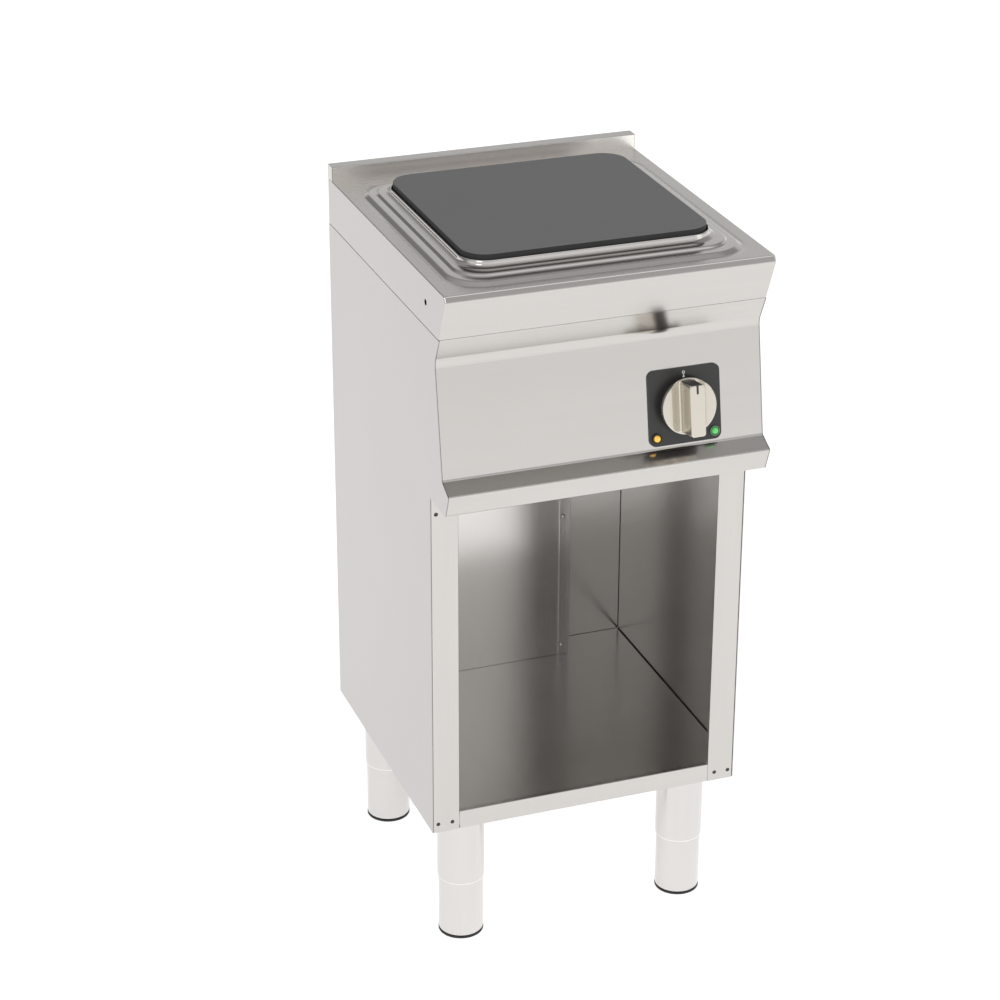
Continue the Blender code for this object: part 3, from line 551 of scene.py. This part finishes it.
def piece(name, mesh, look, body="cabinet", nodes=(), at=AT_CABINET, sheet=0.0, side=-1.0,
          cuts=(), joins=(), edge=0.0, segments=3):
    """Finish a mesh as a piece: thickness, joins, holes, rounded edges, material, and what it rides on."""
    made = bpy.data.objects.new(name, mesh)
    bpy.context.scene.collection.objects.link(made)
    made.matrix_world = at
    if sheet:
        solidify = made.modifiers.new("sheet", "SOLIDIFY")
        solidify.thickness = sheet
        solidify.offset = side
        solidify.use_even_offset = True
    for operation, tools in (("UNION", joins), ("DIFFERENCE", cuts)):
        for tool in tools:
            boolean = made.modifiers.new(operation, "BOOLEAN")
            boolean.operation = operation
            boolean.object = tool
            boolean.solver = "EXACT"
    if edge:
        bevel = made.modifiers.new("rounded_edges", "BEVEL")
        bevel.width = edge
        bevel.segments = segments
        bevel.limit_method = "ANGLE"
        bevel.angle_limit = math.radians(BEVEL_FROM)
    bpy.context.view_layer.update()
    evaluated = made.evaluated_get(bpy.context.evaluated_depsgraph_get())
    final = bpy.data.meshes.new_from_object(evaluated)
    made.modifiers.clear()
    made.data = final
    for tool in (*cuts, *joins):
        bpy.data.objects.remove(tool, do_unlink=True)
    final.transform(at)
    made.matrix_world = Matrix.Identity(4)
    final.materials.clear()
    final.materials.append(look)
    final.shade_smooth()
    final.set_sharp_from_angle(angle=math.radians(SMOOTH_UP_TO))
    made.modifiers.new("even_normals", "WEIGHTED_NORMAL").keep_sharp = True
    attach(made, body)
    if nodes:
        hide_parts(*nodes)
    return made


def another_material(made, look, chosen):
    """Give the faces that pass a test another material."""
    made.data.materials.append(look)
    for face in made.data.polygons:
        if chosen(face):
            face.material_index = len(made.data.materials) - 1


# ---------------------------------------------------------------- worktop and plate
def worktop_pan():
    """The pressed pan: skirts, leaning nose, stepped ring and a rolled collar round the plate."""
    loops = []
    for half_x, front, back, radius, height in softened(PAN_SECTIONS):
        loops.append([(x, y, height) for x, y in rounded_rectangle(half_x, front, back, radius)])
    across = 0.5
    hole = round_cutter(JOINING_HOLE_RADIUS, across,
                        AT_CABINET @ Matrix.Translation(JOINING_HOLE_AT) @ ALONG_X)
    pan = piece("worktop_pan", loft("worktop_pan", loops), STEEL_X, nodes=["worktop"],
                sheet=SHEET, cuts=[hole])
    level = WORKTOP_TOP + 0.0001
    edge_y = TOP_LOW.y + 1.6 * NOSE_LEAN  # just behind the bend at the top of the nose
    # the pan's sideways skirts get the darker steel: painted shade
    another_material(pan, STEEL_SIDE_PAINTED_SHADE,
                     lambda face: abs(face.normal.x) > 0.9 and face.center.z < WORKTOP_TOP)
    # the flat top gets the lighter steel: painted light
    another_material(pan, STEEL_TOP_PAINTED_LIGHTER, lambda face: face.normal.z > 0.9 and face.center.z < level)
    # the ring gets the lighter steel: painted light
    another_material(pan, STEEL_RING_PAINTED_LIGHTER, lambda face: face.center.z > level)
    # the rounded top edge of the nose is near-white steel: a painted highlight
    another_material(pan, PAINTED_HIGHLIGHT_STEEL,
                     lambda face: 0.58 < face.normal.z < 0.985 and face.center.y < edge_y)


def upstand_rail():
    """The folded rail along the rear edge, open below, with an end cap on each side."""
    low, high = UPSTAND_LOW.copy(), UPSTAND_HIGH
    low.z -= GAP
    inside_fold, end_gap = REAR_FOLD / 4, 0.00005
    front, rear, top = low.y + SHEET, high.y - SHEET, high.z - SHEET
    outer = fillet(((low.y, low.z), (low.y, high.z), (high.y, high.z), (high.y, low.z)),
                   (REAR_FOLD, REAR_FOLD), FOLD_FACET)
    inner = fillet(((rear, low.z), (rear, top), (front, top), (front, low.z)),
                   (inside_fold, inside_fold), FOLD_FACET)
    rail = slab("upstand_rail", outer + inner, "X", low.x + SHEET + end_gap, high.x - SHEET - end_gap)
    # the rail's forward, downward and end faces get the much lighter steel, its top and rear the plain
    # steel: painted light on the front
    made = piece("upstand_rail", rail, STEEL_UPSTAND_PAINTED_LIGHT, nodes=["rear_upstand"],
                 at=Matrix.Identity(4))
    another_material(made, STEEL_X, lambda face: face.normal.y > 0.5 or face.normal.z > 0.5)
    for name, left in (("upstand_end_left", low.x), ("upstand_end_right", high.x - SHEET)):
        piece(name, slab(name, outer, "X", left, left + SHEET), STEEL_Y,
              at=Matrix.Identity(4))


def cooking_plate():
    """The cast plate, with blacker sides than its ground face."""
    middle_y = (PLATE_LOW.y + PLATE_HIGH.y) / 2
    half_y = PLATE_HIGH.y - middle_y
    at = Matrix.Translation((0.0, middle_y, 0.0))
    outline = rounded_rectangle(PLATE_HIGH.x, -half_y, half_y, PLATE_CORNER, 24)
    plate = piece("cooking_plate", slab("cooking_plate", outline, "Z", PLATE_LOW.z, PLATE_HIGH.z),
                  LOOKS["cast_iron"], nodes=["hot_plate"], at=at, edge=PLATE_EDGE)
    another_material(plate, IRON_SIDE, lambda face: face.normal.z < 0.5)


# ---------------------------------------------------------------- cabinet
def front_outline():
    """Side profile of the control panel and drip rail, down to the front frame."""
    corners = (PANEL_TOP, PANEL_BEND, PANEL_FOOT, RAIL_NOSE, RAIL_LOWER, (FRAME_FRONT, RAIL_LOWER[1]))
    return fillet(corners, PANEL_RADII)


def side_sheets():
    """The two side panels, which follow the front's profile."""
    top = TOP_LOW.z - SEAM
    outline = [(PANEL_TOP[0], top), *front_outline()[1:], (FRAME_FRONT, CABINET_BOTTOM),
               (HALF_DEPTH, CABINET_BOTTOM), (HALF_DEPTH, top)]
    for name, low in (("side_panel_left", -HALF_WIDTH), ("side_panel_right", HALF_WIDTH - SHEET)):
        # the side panels get the darker steel: painted shade
        piece("sheet_" + name, slab(name, outline, "X", low, low + SHEET), STEEL_SIDE_PAINTED_SHADE, nodes=[name],
              edge=CUT_EDGE, segments=2)


def rear_sheet():
    """The back panel with its row of vent slots."""
    through = 0.01
    half_x, half_z = VENT_HALF_SIZE
    vent = rounded_rectangle(half_x, -half_z, half_z, VENT_CORNER, 8)
    cuts = []
    for number in range(VENT_COUNT):
        place = (FIRST_VENT_X + VENT_PITCH * number, HALF_DEPTH, VENT_HEIGHT)
        cuts.append(cutter(slab(f"vent_{number}", vent, "Z", -through, through),
                           AT_CABINET @ Matrix.Translation(place) @ ALONG_Y))
    half = HALF_WIDTH - SHEET - JOINT
    outline = rectangle(-half, CABINET_BOTTOM, half, PANEL_TOP[1])
    made = piece("rear_sheet", slab("rear_sheet", outline, "Y", HALF_DEPTH - SHEET, HALF_DEPTH),
                 STEEL_INSIDE, nodes=["back_panel"], cuts=cuts, edge=CUT_EDGE,
                 segments=2)
    another_material(made, STEEL_Z, lambda face: face.normal.y > 0.5)


def front_frame():
    """Two folded posts with plugged door holes, and the folded bottom rail between them."""
    through = 0.01
    rim = DOOR_HOLE_RADIUS + 0.0006
    plug = ((0.0, -0.0005), (0.0018, -0.0004), (0.0023, -0.0002), (DOOR_HOLE_RADIUS, -0.0004),
            (DOOR_HOLE_RADIUS, -0.0010), (rim, -0.0010), (rim, -0.0016), (0.0, -0.0016))
    for name, side in (("front_post_left", -1), ("front_post_right", 1)):
        corners = ((side * POST_INNER, FRAME_FRONT + HEM), (side * POST_INNER, FRAME_FRONT),
                   (side * INSIDE, FRAME_FRONT), (side * INSIDE, FRAME_FRONT + POST_RETURN))
        holes = []
        for height in DOOR_HOLE_HEIGHTS:
            for from_side in DOOR_HOLES_FROM_SIDE:
                place = (side * (HALF_WIDTH - from_side), FRAME_FRONT, height)
                holes.append(AT_CABINET @ Matrix.Translation(place) @ ALONG_Y)
        sheet = ribbon(name, fillet(corners, (FRONT_FOLD, FRONT_FOLD), FOLD_FACET), "Z", CABINET_BOTTOM,
                       POST_HIGH.z)
        piece("sheet_" + name, sheet, STEEL_Z, nodes=[name], sheet=SHEET, side=side,
              cuts=[round_cutter(DOOR_HOLE_RADIUS, through, hole) for hole in holes],
              edge=FOLDED_EDGE, segments=2)
        for number, hole in enumerate(holes):
            piece(f"{name}_plug_{number}", turned("plug", plug, 32), BLACK, at=hole)
    span = POST_INNER - GAP
    flange = FLOOR_LOW.y - MIDDLE_Y - 0.0001
    corners = ((flange, CABINET_BOTTOM), (FRAME_FRONT, CABINET_BOTTOM), (FRAME_FRONT, FLOOR_HIGH.z),
               (flange, FLOOR_HIGH.z))
    rail = ribbon("sheet_bottom_rail", fillet(corners, (FRONT_FOLD, FRONT_FOLD), FOLD_FACET), "X", -span,
                  span)
    piece("sheet_bottom_rail", rail, STEEL_X, nodes=["bottom_rail_front"], sheet=SHEET,
          edge=FOLDED_EDGE, segments=2)


def inner_sheets():
    """Cabinet floor, the deck under the controls, and the duct's cover, post and screws."""
    through = 0.01
    rear = HALF_DEPTH - SHEET - GAP
    half = FLOOR_HIGH.x
    bottom = rectangle(-half, FLOOR_LOW.y - MIDDLE_Y, half, rear - JOINT)
    gland = round_cutter(GLAND_HOLE_RADIUS, 2 * through,
                         AT_CABINET @ Matrix.Translation((*GLAND_AT, FLOOR_HIGH.z)))
    piece("floor_sheet", slab("floor_sheet", bottom, "Z", FLOOR_LOW.z, FLOOR_HIGH.z), STEEL_FLOOR,
          nodes=["floor_panel"], cuts=[gland], edge=CUT_EDGE, segments=2)
    deck = rectangle(-INSIDE, DECK_LOW.y - MIDDLE_Y, INSIDE, rear)
    wire_slot = slab("slot", rectangle(*WIRE_SLOT), "Z", DECK_LOW.z - through, DECK_HIGH.z + through)
    piece("deck_sheet", slab("deck_sheet", deck, "Z", DECK_LOW.z, DECK_HIGH.z), STEEL_INSIDE,
          nodes=["deck_panel"], cuts=[cutter(wire_slot, AT_CABINET)], edge=CUT_EDGE,
          segments=2)
    low, high = FLOOR_HIGH.z + GAP, DECK_LOW.z - GAP
    left, right = SERVICE_POST_X
    cover = rectangle(-INSIDE, SERVICE_Y, left - 0.0001, SERVICE_Y + SHEET)
    piece("duct_cover", slab("duct_cover", cover, "Z", low, high), STEEL_INSIDE, nodes=["service_cover"])
    corners = ((left, rear), (left, SERVICE_POST_FRONT), (right, SERVICE_POST_FRONT), (right, rear))
    post = fillet(corners, (REAR_FOLD, REAR_FOLD), FOLD_FACET)
    piece("duct_post", ribbon("duct_post", post, "Z", low, high), STEEL_INSIDE, nodes=["service_post"],
          sheet=SHEET, side=1.0, edge=FOLDED_EDGE, segments=2)
    long, narrow = CROSS_SLOT
    for name, height in SCREW_HEIGHTS.items():
        screw_low, screw_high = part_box(name)
        screw_x = (screw_low.x + screw_high.x) / 2
        at = AT_CABINET @ Matrix.Translation((screw_x, SERVICE_POST_FRONT - GAP, height)) @ ALONG_Y
        slots = [cutter(slab("slot", rectangle(-x, -y, x, y), "Z", CROSS_SLOT_FLOOR, 0.003), at)
                 for x, y in ((long, narrow), (narrow, long))]
        piece("head_" + name, turned(name, SCREW_HEAD, 32), LEG, nodes=[name], at=at,
              cuts=slots)


def joint_shade_strips():
    """Black strips at the bottom of the open lines between floor, sides and back, as painted shade in the
    joints.
    """
    side, rear = HALF_WIDTH - SHEET, HALF_DEPTH
    deep, shallow = 0.0009, 0.0004
    low_y, low_z = FLOOR_LOW.y - MIDDLE_Y, FLOOR_LOW.z
    floor_edge, upright_edge = FLOOR_HIGH.x - GAP, side - JOINT - GAP
    runs = []
    for sign in (-1, 1):
        runs.append(((sign * floor_edge, low_y, low_z - shallow),
                     (sign * side, rear - SHEET, low_z + shallow)))
    for sign in (-1, 1):
        runs.append(((sign * upright_edge, rear - deep, FLOOR_HIGH.z),
                     (sign * side, rear - shallow, DECK_LOW.z)))
    runs.append(((-side, rear - SHEET - JOINT - 2 * GAP, low_z - shallow),
                 (side, rear - SHEET, low_z + shallow)))
    for number, (first, second) in enumerate(runs):
        low = Vector(map(min, first, second))
        high = Vector(map(max, first, second))
        dark_strip = slab("joint_shade_strip", rectangle(low.x, low.y, high.x, high.y), "Z", low.z, high.z)
        # black strips where the joints are only in shade: painted shade
        piece(f"joint_shade_strip_{number}", dark_strip, LOOKS["black_rubber"], edge=0.0001,
              segments=1)


# ---------------------------------------------------------------- controls
def panel_frame():
    """Axes on the control panel at the knob: X to the right, Y up the panel, Z out of it."""
    bend, foot = Vector(PANEL_BEND), Vector(PANEL_FOOT)
    upward = (bend - foot).normalized()
    place = bend - upward * KNOB_BELOW_BEND
    knob_low, knob_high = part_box("knob_shaft")
    knob_x = (knob_low.x + knob_high.x) / 2
    lean = Matrix.Rotation(math.atan2(upward.y, upward.x), 4, "X")
    return AT_CABINET @ Matrix.Translation((knob_x, place.x, place.y)) @ lean


PANEL_FACE = panel_frame()


def on_panel(x, y):
    return PANEL_FACE @ Matrix.Translation((x, y, 0.0))


def panel_holes():
    """Cutters for the knob's shaft and the two lamps."""
    through = 0.012
    holes = ((0.0, 0.0, SHAFT_HOLE_RADIUS), (-LAMP_OFFSET, -LAMP_OFFSET, LAMP_HOLE_RADIUS),
             (LAMP_OFFSET, -LAMP_OFFSET, LAMP_HOLE_RADIUS))
    return [round_cutter(radius, through, on_panel(x, y)) for x, y, radius in holes]


def control_panel():
    """The panel with its drip rail in one folded sheet, and the square bezel on it."""
    piece("panel_sheet", ribbon("panel_sheet", front_outline(), "X", -INSIDE, INSIDE), STEEL_X,
          nodes=["control_panel"], sheet=SHEET, side=1.0, cuts=panel_holes(),
          edge=CUT_EDGE, segments=2)
    half = BEZEL_SIZE / 2
    outline = rounded_rectangle(half, BEZEL_CENTRE - half, BEZEL_CENTRE + half, BEZEL_CORNER)
    piece("bezel", slab("bezel", outline, "Z", GAP, GAP + BEZEL_THICKNESS), BLACK, nodes=["bezel_plate"],
          at=PANEL_FACE, cuts=panel_holes(), edge=0.0005)


def dial_marks():
    """The printed zero and the tick under it, above the knob."""
    face = GAP + BEZEL_THICKNESS
    steps = 40
    bm = bmesh.new()
    rings = []
    for half_x, half_y in ZERO_RINGS:
        ring = []
        for step in range(steps):
            angle = 2 * math.pi * step / steps
            ring.append(bm.verts.new((half_x * math.cos(angle), ZERO_MIDDLE + half_y * math.sin(angle),
                                      face + PRINT_HEIGHT)))
        rings.append(ring)
    for here in range(steps):
        after = (here + 1) % steps
        bm.faces.new((rings[0][here], rings[0][after], rings[1][after], rings[1][here]))
    piece("dial_zero", mesh_of("dial_zero", bm), PRINT, at=PANEL_FACE, sheet=PRINT_HEIGHT * 0.8)
    low, high = TICK_RUN
    wide, slim = TICK_HALF_WIDTHS
    tick = ((-wide, low), (wide, low), (slim, high), (-slim, high))
    piece("dial_tick", slab("dial_tick", tick, "Z", face + 0.00002, face + PRINT_HEIGHT), PRINT,
          at=PANEL_FACE)


def lamps():
    """The two lamps: a stepped rim through the panel, and a domed lens with its stem in it."""
    base = GAP * 2 + BEZEL_THICKNESS
    bore, tail_bore = 0.0046, 0.0026
    rim = ((bore, base + 0.0016), (0.0052, base + 0.0022), (0.0058, base + 0.0021),
           (0.0061, base + 0.0016), (LAMP_RADIUS, base), (bore, base), (bore, LAMP_TAIL),
           (tail_bore, LAMP_TAIL), (tail_bore, -0.006), (0.0036, -0.004))
    stem, stem_end = 0.0031, -0.0035
    dome = [(0.0, base + 0.0042)]
    for step in range(1, 10):
        turn = math.radians(10 * step)
        dome.append((0.0040 * math.sin(turn), base + 0.0014 + 0.0028 * math.cos(turn)))
    dome += [(stem, stem_end), (0.0, stem_end)]
    for name, side, rim_look in (("amber", -1, BLACK), ("green", 1, GREEN_RIM)):
        at = on_panel(side * LAMP_OFFSET, -LAMP_OFFSET)
        lens = name + "_lens"
        piece(f"{name}_lamp_rim", turned(name, rim, 48), rim_look, nodes=[f"lamp_{name}_body"],
              at=at)
        piece(f"{name}_lamp_dome", turned(name, dome, 48), LOOKS[lens], nodes=[f"lamp_{name}_lens"],
              at=at)


def cap_height(x):
    """Height of the cap's face: a flat channel beside the grip, then an easy slope up to the rim."""
    share = min(1.0, max(0.0, (abs(x) - CHANNEL_FLOOR) / (CHANNEL_TOP - CHANNEL_FLOOR)))
    return KNOB_CHANNEL + (KNOB_RIM - KNOB_CHANNEL) * share * share * (3 - 2 * share)


def knob_cap():
    """A disc whose face is cut into strips along the grip and sunk to the height of the channels."""
    rim, low = KNOB_RIM, KNOB_UNDERSIDE
    profile = ((0.0, rim), (0.0325, rim), (0.0330, rim - 0.0001), (0.0335, rim - 0.0004),
               (KNOB_RADIUS, rim - 0.0010), (KNOB_RADIUS, low + 0.0008), (0.0334, low + 0.0002),
               (0.0328, low), (0.0, low))
    bm = bmesh.new()
    bm.from_mesh(turned("knob_cap", profile, 128))
    for step in range(CHANNEL_STRIPS + 1):
        for side in (-1, 1):
            x = side * (CHANNEL_FLOOR + (CHANNEL_TOP - CHANNEL_FLOOR) * step / CHANNEL_STRIPS)
            whole = [*bm.verts, *bm.edges, *bm.faces]
            bmesh.ops.bisect_plane(bm, geom=whole, dist=0.000001, plane_co=(x, 0.0, 0.0),
                                   plane_no=(1.0, 0.0, 0.0))
    rounding = 0.0015
    for vert in bm.verts:
        if vert.co.z > rim - rounding:
            vert.co.z -= rim - cap_height(vert.co.x)
    return mesh_of("knob_cap", bm)


def grip_bar():
    """The grip with its rounded crown and a fillet where it meets the cap."""
    half_x, half_y = GRIP_WIDTH / 2, GRIP_LENGTH / 2
    foot, face, crown = KNOB_CHANNEL, KNOB_FACE, GRIP_CROWN
    # how far in from the sides, and height
    profile = ((-0.0020, foot - 0.0006), (-0.0019, foot + 0.0001), (-0.0010, foot + 0.0005),
               (-0.0003, foot + 0.0012), (0.0, foot + 0.0024), (0.0002, face - 2 * crown),
               (0.00035, face - crown), (0.0006, face - crown / 2), (0.0011, face - crown / 6),
               (0.0018, face))
    loops = []
    for inset, height in profile:
        reach = half_y - max(0.0, inset)
        outline = rounded_rectangle(half_x - inset, -reach, reach, GRIP_CORNER, 8)
        loops.append([(x, y, height) for x, y in outline])
    grip = loft("grip", loops)
    bm = bmesh.new()
    bm.from_mesh(grip)
    bmesh.ops.holes_fill(bm, edges=[edge for edge in bm.edges if edge.is_boundary])
    bmesh.ops.recalc_face_normals(bm, faces=bm.faces)
    bm.to_mesh(grip)
    bm.free()
    return grip


def control_knob():
    """The cap with its grip bar, the black skirt behind it and the pointer that runs to the grip's end."""
    width, length, depth = POINTER_SIZE
    end = GRIP_LENGTH / 2
    past = 0.002
    groove_outline = rectangle(-width / 2 - GAP, end - length - GAP, width / 2 + GAP, end + past)
    groove = slab("groove", groove_outline, "Z", KNOB_FACE - depth - GAP, KNOB_FACE + past)
    knob = piece("knob_cap", knob_cap(), LOOKS["champagne_knob"], "knob", ["knob"],
                 at=PANEL_FACE, joins=[cutter(grip_bar(), PANEL_FACE)], cuts=[cutter(groove, PANEL_FACE)])
    up = (PANEL_FACE.to_3x3() @ Vector((0.0, 1.0, 0.0))).normalized()
    near_end = PANEL_FACE @ Vector((0.0, end - 0.0030, 0.0))

    # faces at the grip's upper end, and at the rim beyond it, that face up the panel: made black as
    # painted shade
    def painted_shade_on_upper_end(face):
        out = face.center - near_end
        return face.normal.dot(up) > 0.85 and out.dot(up) > 0.0 and abs(out.x) < GRIP_WIDTH / 2

    another_material(knob, BLACK, painted_shade_on_upper_end)
    line = slab("pointer_line", rectangle(-width / 2, end - length, width / 2, end - 0.0001), "Z",
                KNOB_FACE - depth, KNOB_FACE - 0.0001)
    piece("pointer_line", line, BLACK, "knob", ["pointer_mark"], at=PANEL_FACE,
          edge=0.0003)
    low, top = BEZEL_THICKNESS + 0.0010, KNOB_UNDERSIDE - GAP
    bore, hub, hub_end = 0.0034, 0.0070, 0.0045
    skirt = ((bore, top), (0.0306, top), (0.0314, top - 0.0004), (0.0318, top - 0.0012),
             (0.0322, low + 0.0004), (0.0321, low), (0.0300, low), (0.0292, top - SKIRT_WALL),
             (hub, top - SKIRT_WALL), (hub, hub_end), (bore, hub_end))
    piece("skirt_ring", turned("skirt_ring", skirt, 96), BLACK, "knob", ["knob_skirt"],
          at=PANEL_FACE)


# ---------------------------------------------------------------- legs and hidden parts
def leg(name):
    """A fixed sleeve closed at its top, and the tube that slides in it with a pad under it."""
    low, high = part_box(f"leg_sleeve_{name}")
    at = Matrix.Translation(((low.x + high.x) / 2, (low.y + high.y) / 2, 0.0))
    outer, bottom, top = (high.x - low.x) / 2, low.z, high.z
    sleeve = ((0.0, top), (outer - 0.0005, top), (outer, top - 0.0005), (outer, bottom + 0.0030),
              (outer - 0.0001, bottom + 0.0012), (outer - 0.0004, bottom + 0.0003),
              (outer - 0.0007, bottom), (SLEEVE_BORE, bottom), (SLEEVE_BORE, top - SLEEVE_LID),
              (0.0, top - SLEEVE_LID))
    lip = bottom + SLEEVE_LIP
    made = piece("sleeve_" + name, turned(name, sleeve), LEG, nodes=[f"leg_sleeve_{name}"],
                 at=at)
    # the sleeve's lowest band is near-white steel: a painted highlight
    another_material(made, PAINTED_HIGHLIGHT_STEEL, lambda face: face.center.z < lip)
    low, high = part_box(f"foot_tube_{name}")
    radius, bottom, top = (high.x - low.x) / 2, low.z, high.z
    tube = ((TUBE_BORE, top), (radius - 0.0003, top), (radius, top - 0.0003), (radius, bottom + 0.0020),
            (radius - 0.0002, bottom + 0.0010), (radius - 0.0006, bottom + 0.0003),
            (radius - 0.0012, bottom), (0.0, bottom), (0.0, bottom + TUBE_FLOOR),
            (TUBE_BORE, bottom + TUBE_FLOOR))
    piece("tube_" + name, turned(name, tube), LEG, f"foot_{name}", [f"foot_tube_{name}"],
          at=at)
    low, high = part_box(f"foot_pad_{name}")
    radius, top = (high.x - low.x) / 2, high.z
    pad = ((0.0, top), (radius - 0.0004, top), (radius, top - 0.0004), (radius, 0.0009),
           (radius - 0.0003, 0.0003), (radius - 0.0009, 0.0), (0.0, 0.0))
    piece("pad_" + name, turned(name, pad), LOOKS["black_rubber"], f"foot_{name}", [f"foot_pad_{name}"],
          at=at)


def dress_hidden_parts():
    """Every CAD part that still shows gets its slot's material."""
    slots = {row["node"]: row["material_slot"] for row in frame["record"]["subparts"]}
    for name, node in frame["nodes"].items():
        if not node.hide_render:
            node.data.materials.clear()
            node.data.materials.append(LOOKS[slots[name]])


# ---------------------------------------------------------------- stage, light, camera
def floor():
    """A wide pale floor that glows a little, so that it shows no horizon."""
    bm = bmesh.new()
    bmesh.ops.create_grid(bm, x_segments=8, y_segments=8, size=FLOOR_REACH)
    ground = bpy.data.objects.new("studio_floor", mesh_of("studio_floor", bm, recalculate=False))
    bpy.context.scene.collection.objects.link(ground)
    look = Look("studio_floor", Roughness=1.0, Specular_IOR_Level=0.0, Emission_Strength=FLOOR_GLOW,
                Emission_Color=(1.0, 1.0, 1.0, 1.0))
    look.colour(look.noise((0.5, 0.5, 0.5)), (0.93, 0.93, 0.93), (0.95, 0.95, 0.95))
    ground.data.materials.append(look.material)


def grey_ramp(tree, factor, stops):
    """A ramp through greys, from (position, grey) stops."""
    ramp = tree.nodes.new("ShaderNodeValToRGB")
    elements = ramp.color_ramp.elements
    elements[0].position, elements[0].color = stops[0][0], (*[stops[0][1]] * 3, 1.0)
    elements[1].position, elements[1].color = stops[-1][0], (*[stops[-1][1]] * 3, 1.0)
    for position, grey in stops[1:-1]:
        elements.new(position).color = (grey, grey, grey, 1.0)
    tree.links.new(factor, ramp.inputs["Fac"])
    return ramp.outputs["Color"]


def crossfade(tree, along, low, high, first, second):
    """One colour turning into another while a value goes from low to high."""
    spread = tree.nodes.new("ShaderNodeMapRange")
    spread.inputs["From Min"].default_value = low
    spread.inputs["From Max"].default_value = high
    mix = tree.nodes.new("ShaderNodeMix")
    mix.data_type = "RGBA"
    tree.links.new(along, spread.inputs["Value"])
    tree.links.new(spread.outputs["Result"], mix.inputs["Factor"])
    tree.links.new(first, mix.inputs[COLOUR_A])
    tree.links.new(second, mix.inputs[COLOUR_B])
    return mix.outputs[COLOUR_RESULT]


def world():
    """A surround that is white below the horizon, and above it brighter in front than behind."""
    scene_world = bpy.data.worlds.new("studio")
    bpy.context.scene.world = scene_world
    scene_world.use_nodes = True
    tree = scene_world.node_tree
    place = tree.nodes.new("ShaderNodeTexCoord")
    split = tree.nodes.new("ShaderNodeSeparateXYZ")
    height = tree.nodes.new("ShaderNodeMapRange")
    height.inputs["From Min"].default_value = -1.0
    tree.links.new(place.outputs["Generated"], split.inputs["Vector"])
    tree.links.new(split.outputs["Z"], height.inputs["Value"])
    front, back_right, back_left = (
        grey_ramp(tree, height.outputs["Result"], stops)
        for stops in (SURROUND_FRONT, SURROUND_BACK_RIGHT, SURROUND_BACK_LEFT))
    back = crossfade(tree, split.outputs["X"], *LEFT_TO_RIGHT, back_left, back_right)
    colour = crossfade(tree, split.outputs["Y"], *FRONT_TO_BACK, front, back)
    tree.links.new(colour, tree.nodes["Background"].inputs["Color"])


def softbox(name, place, target, size, power):
    """A rectangular light that faces its target."""
    data = bpy.data.lights.new(name, "AREA")
    data.shape = "RECTANGLE"
    data.size, data.size_y = size
    data.energy = power
    lamp = bpy.data.objects.new(name, data)
    bpy.context.scene.collection.objects.link(lamp)
    lamp.location = place
    lamp.rotation_euler = (Vector(target) - Vector(place)).to_track_quat("-Z", "Y").to_euler()


def camera():
    """The view: a long lens from the front left, a little above the worktop."""
    azimuth, elevation, roll = (math.radians(angle) for angle in CAMERA_ANGLES)
    back = Vector((math.sin(azimuth) * math.cos(elevation), -math.cos(azimuth) * math.cos(elevation),
                   math.sin(elevation)))
    right = Vector((math.cos(azimuth), math.sin(azimuth), 0.0))
    up = back.cross(right)
    axes = Matrix((right, up, back)).transposed().to_4x4() @ Matrix.Rotation(roll, 4, "Z")
    data = bpy.data.cameras.new("camera")
    data.sensor_width = CAMERA_FILM
    data.lens = CAMERA_LENS
    made = bpy.data.objects.new("camera", data)
    bpy.context.scene.collection.objects.link(made)
    made.matrix_world = Matrix.Translation(CAMERA_AT) @ axes
    bpy.context.scene.camera = made


worktop_pan()
upstand_rail()
cooking_plate()
side_sheets()
rear_sheet()
front_frame()
inner_sheets()
joint_shade_strips()
control_panel()
dial_marks()
lamps()
control_knob()
for leg_name in ("front_left", "front_right", "rear_left", "rear_right"):
    leg(leg_name)
dress_hidden_parts()
floor()
world()
for light_name, settings in SOFTBOXES.items():
    softbox(light_name, *settings)
camera()
bpy.context.scene.view_settings.view_transform = "Standard"
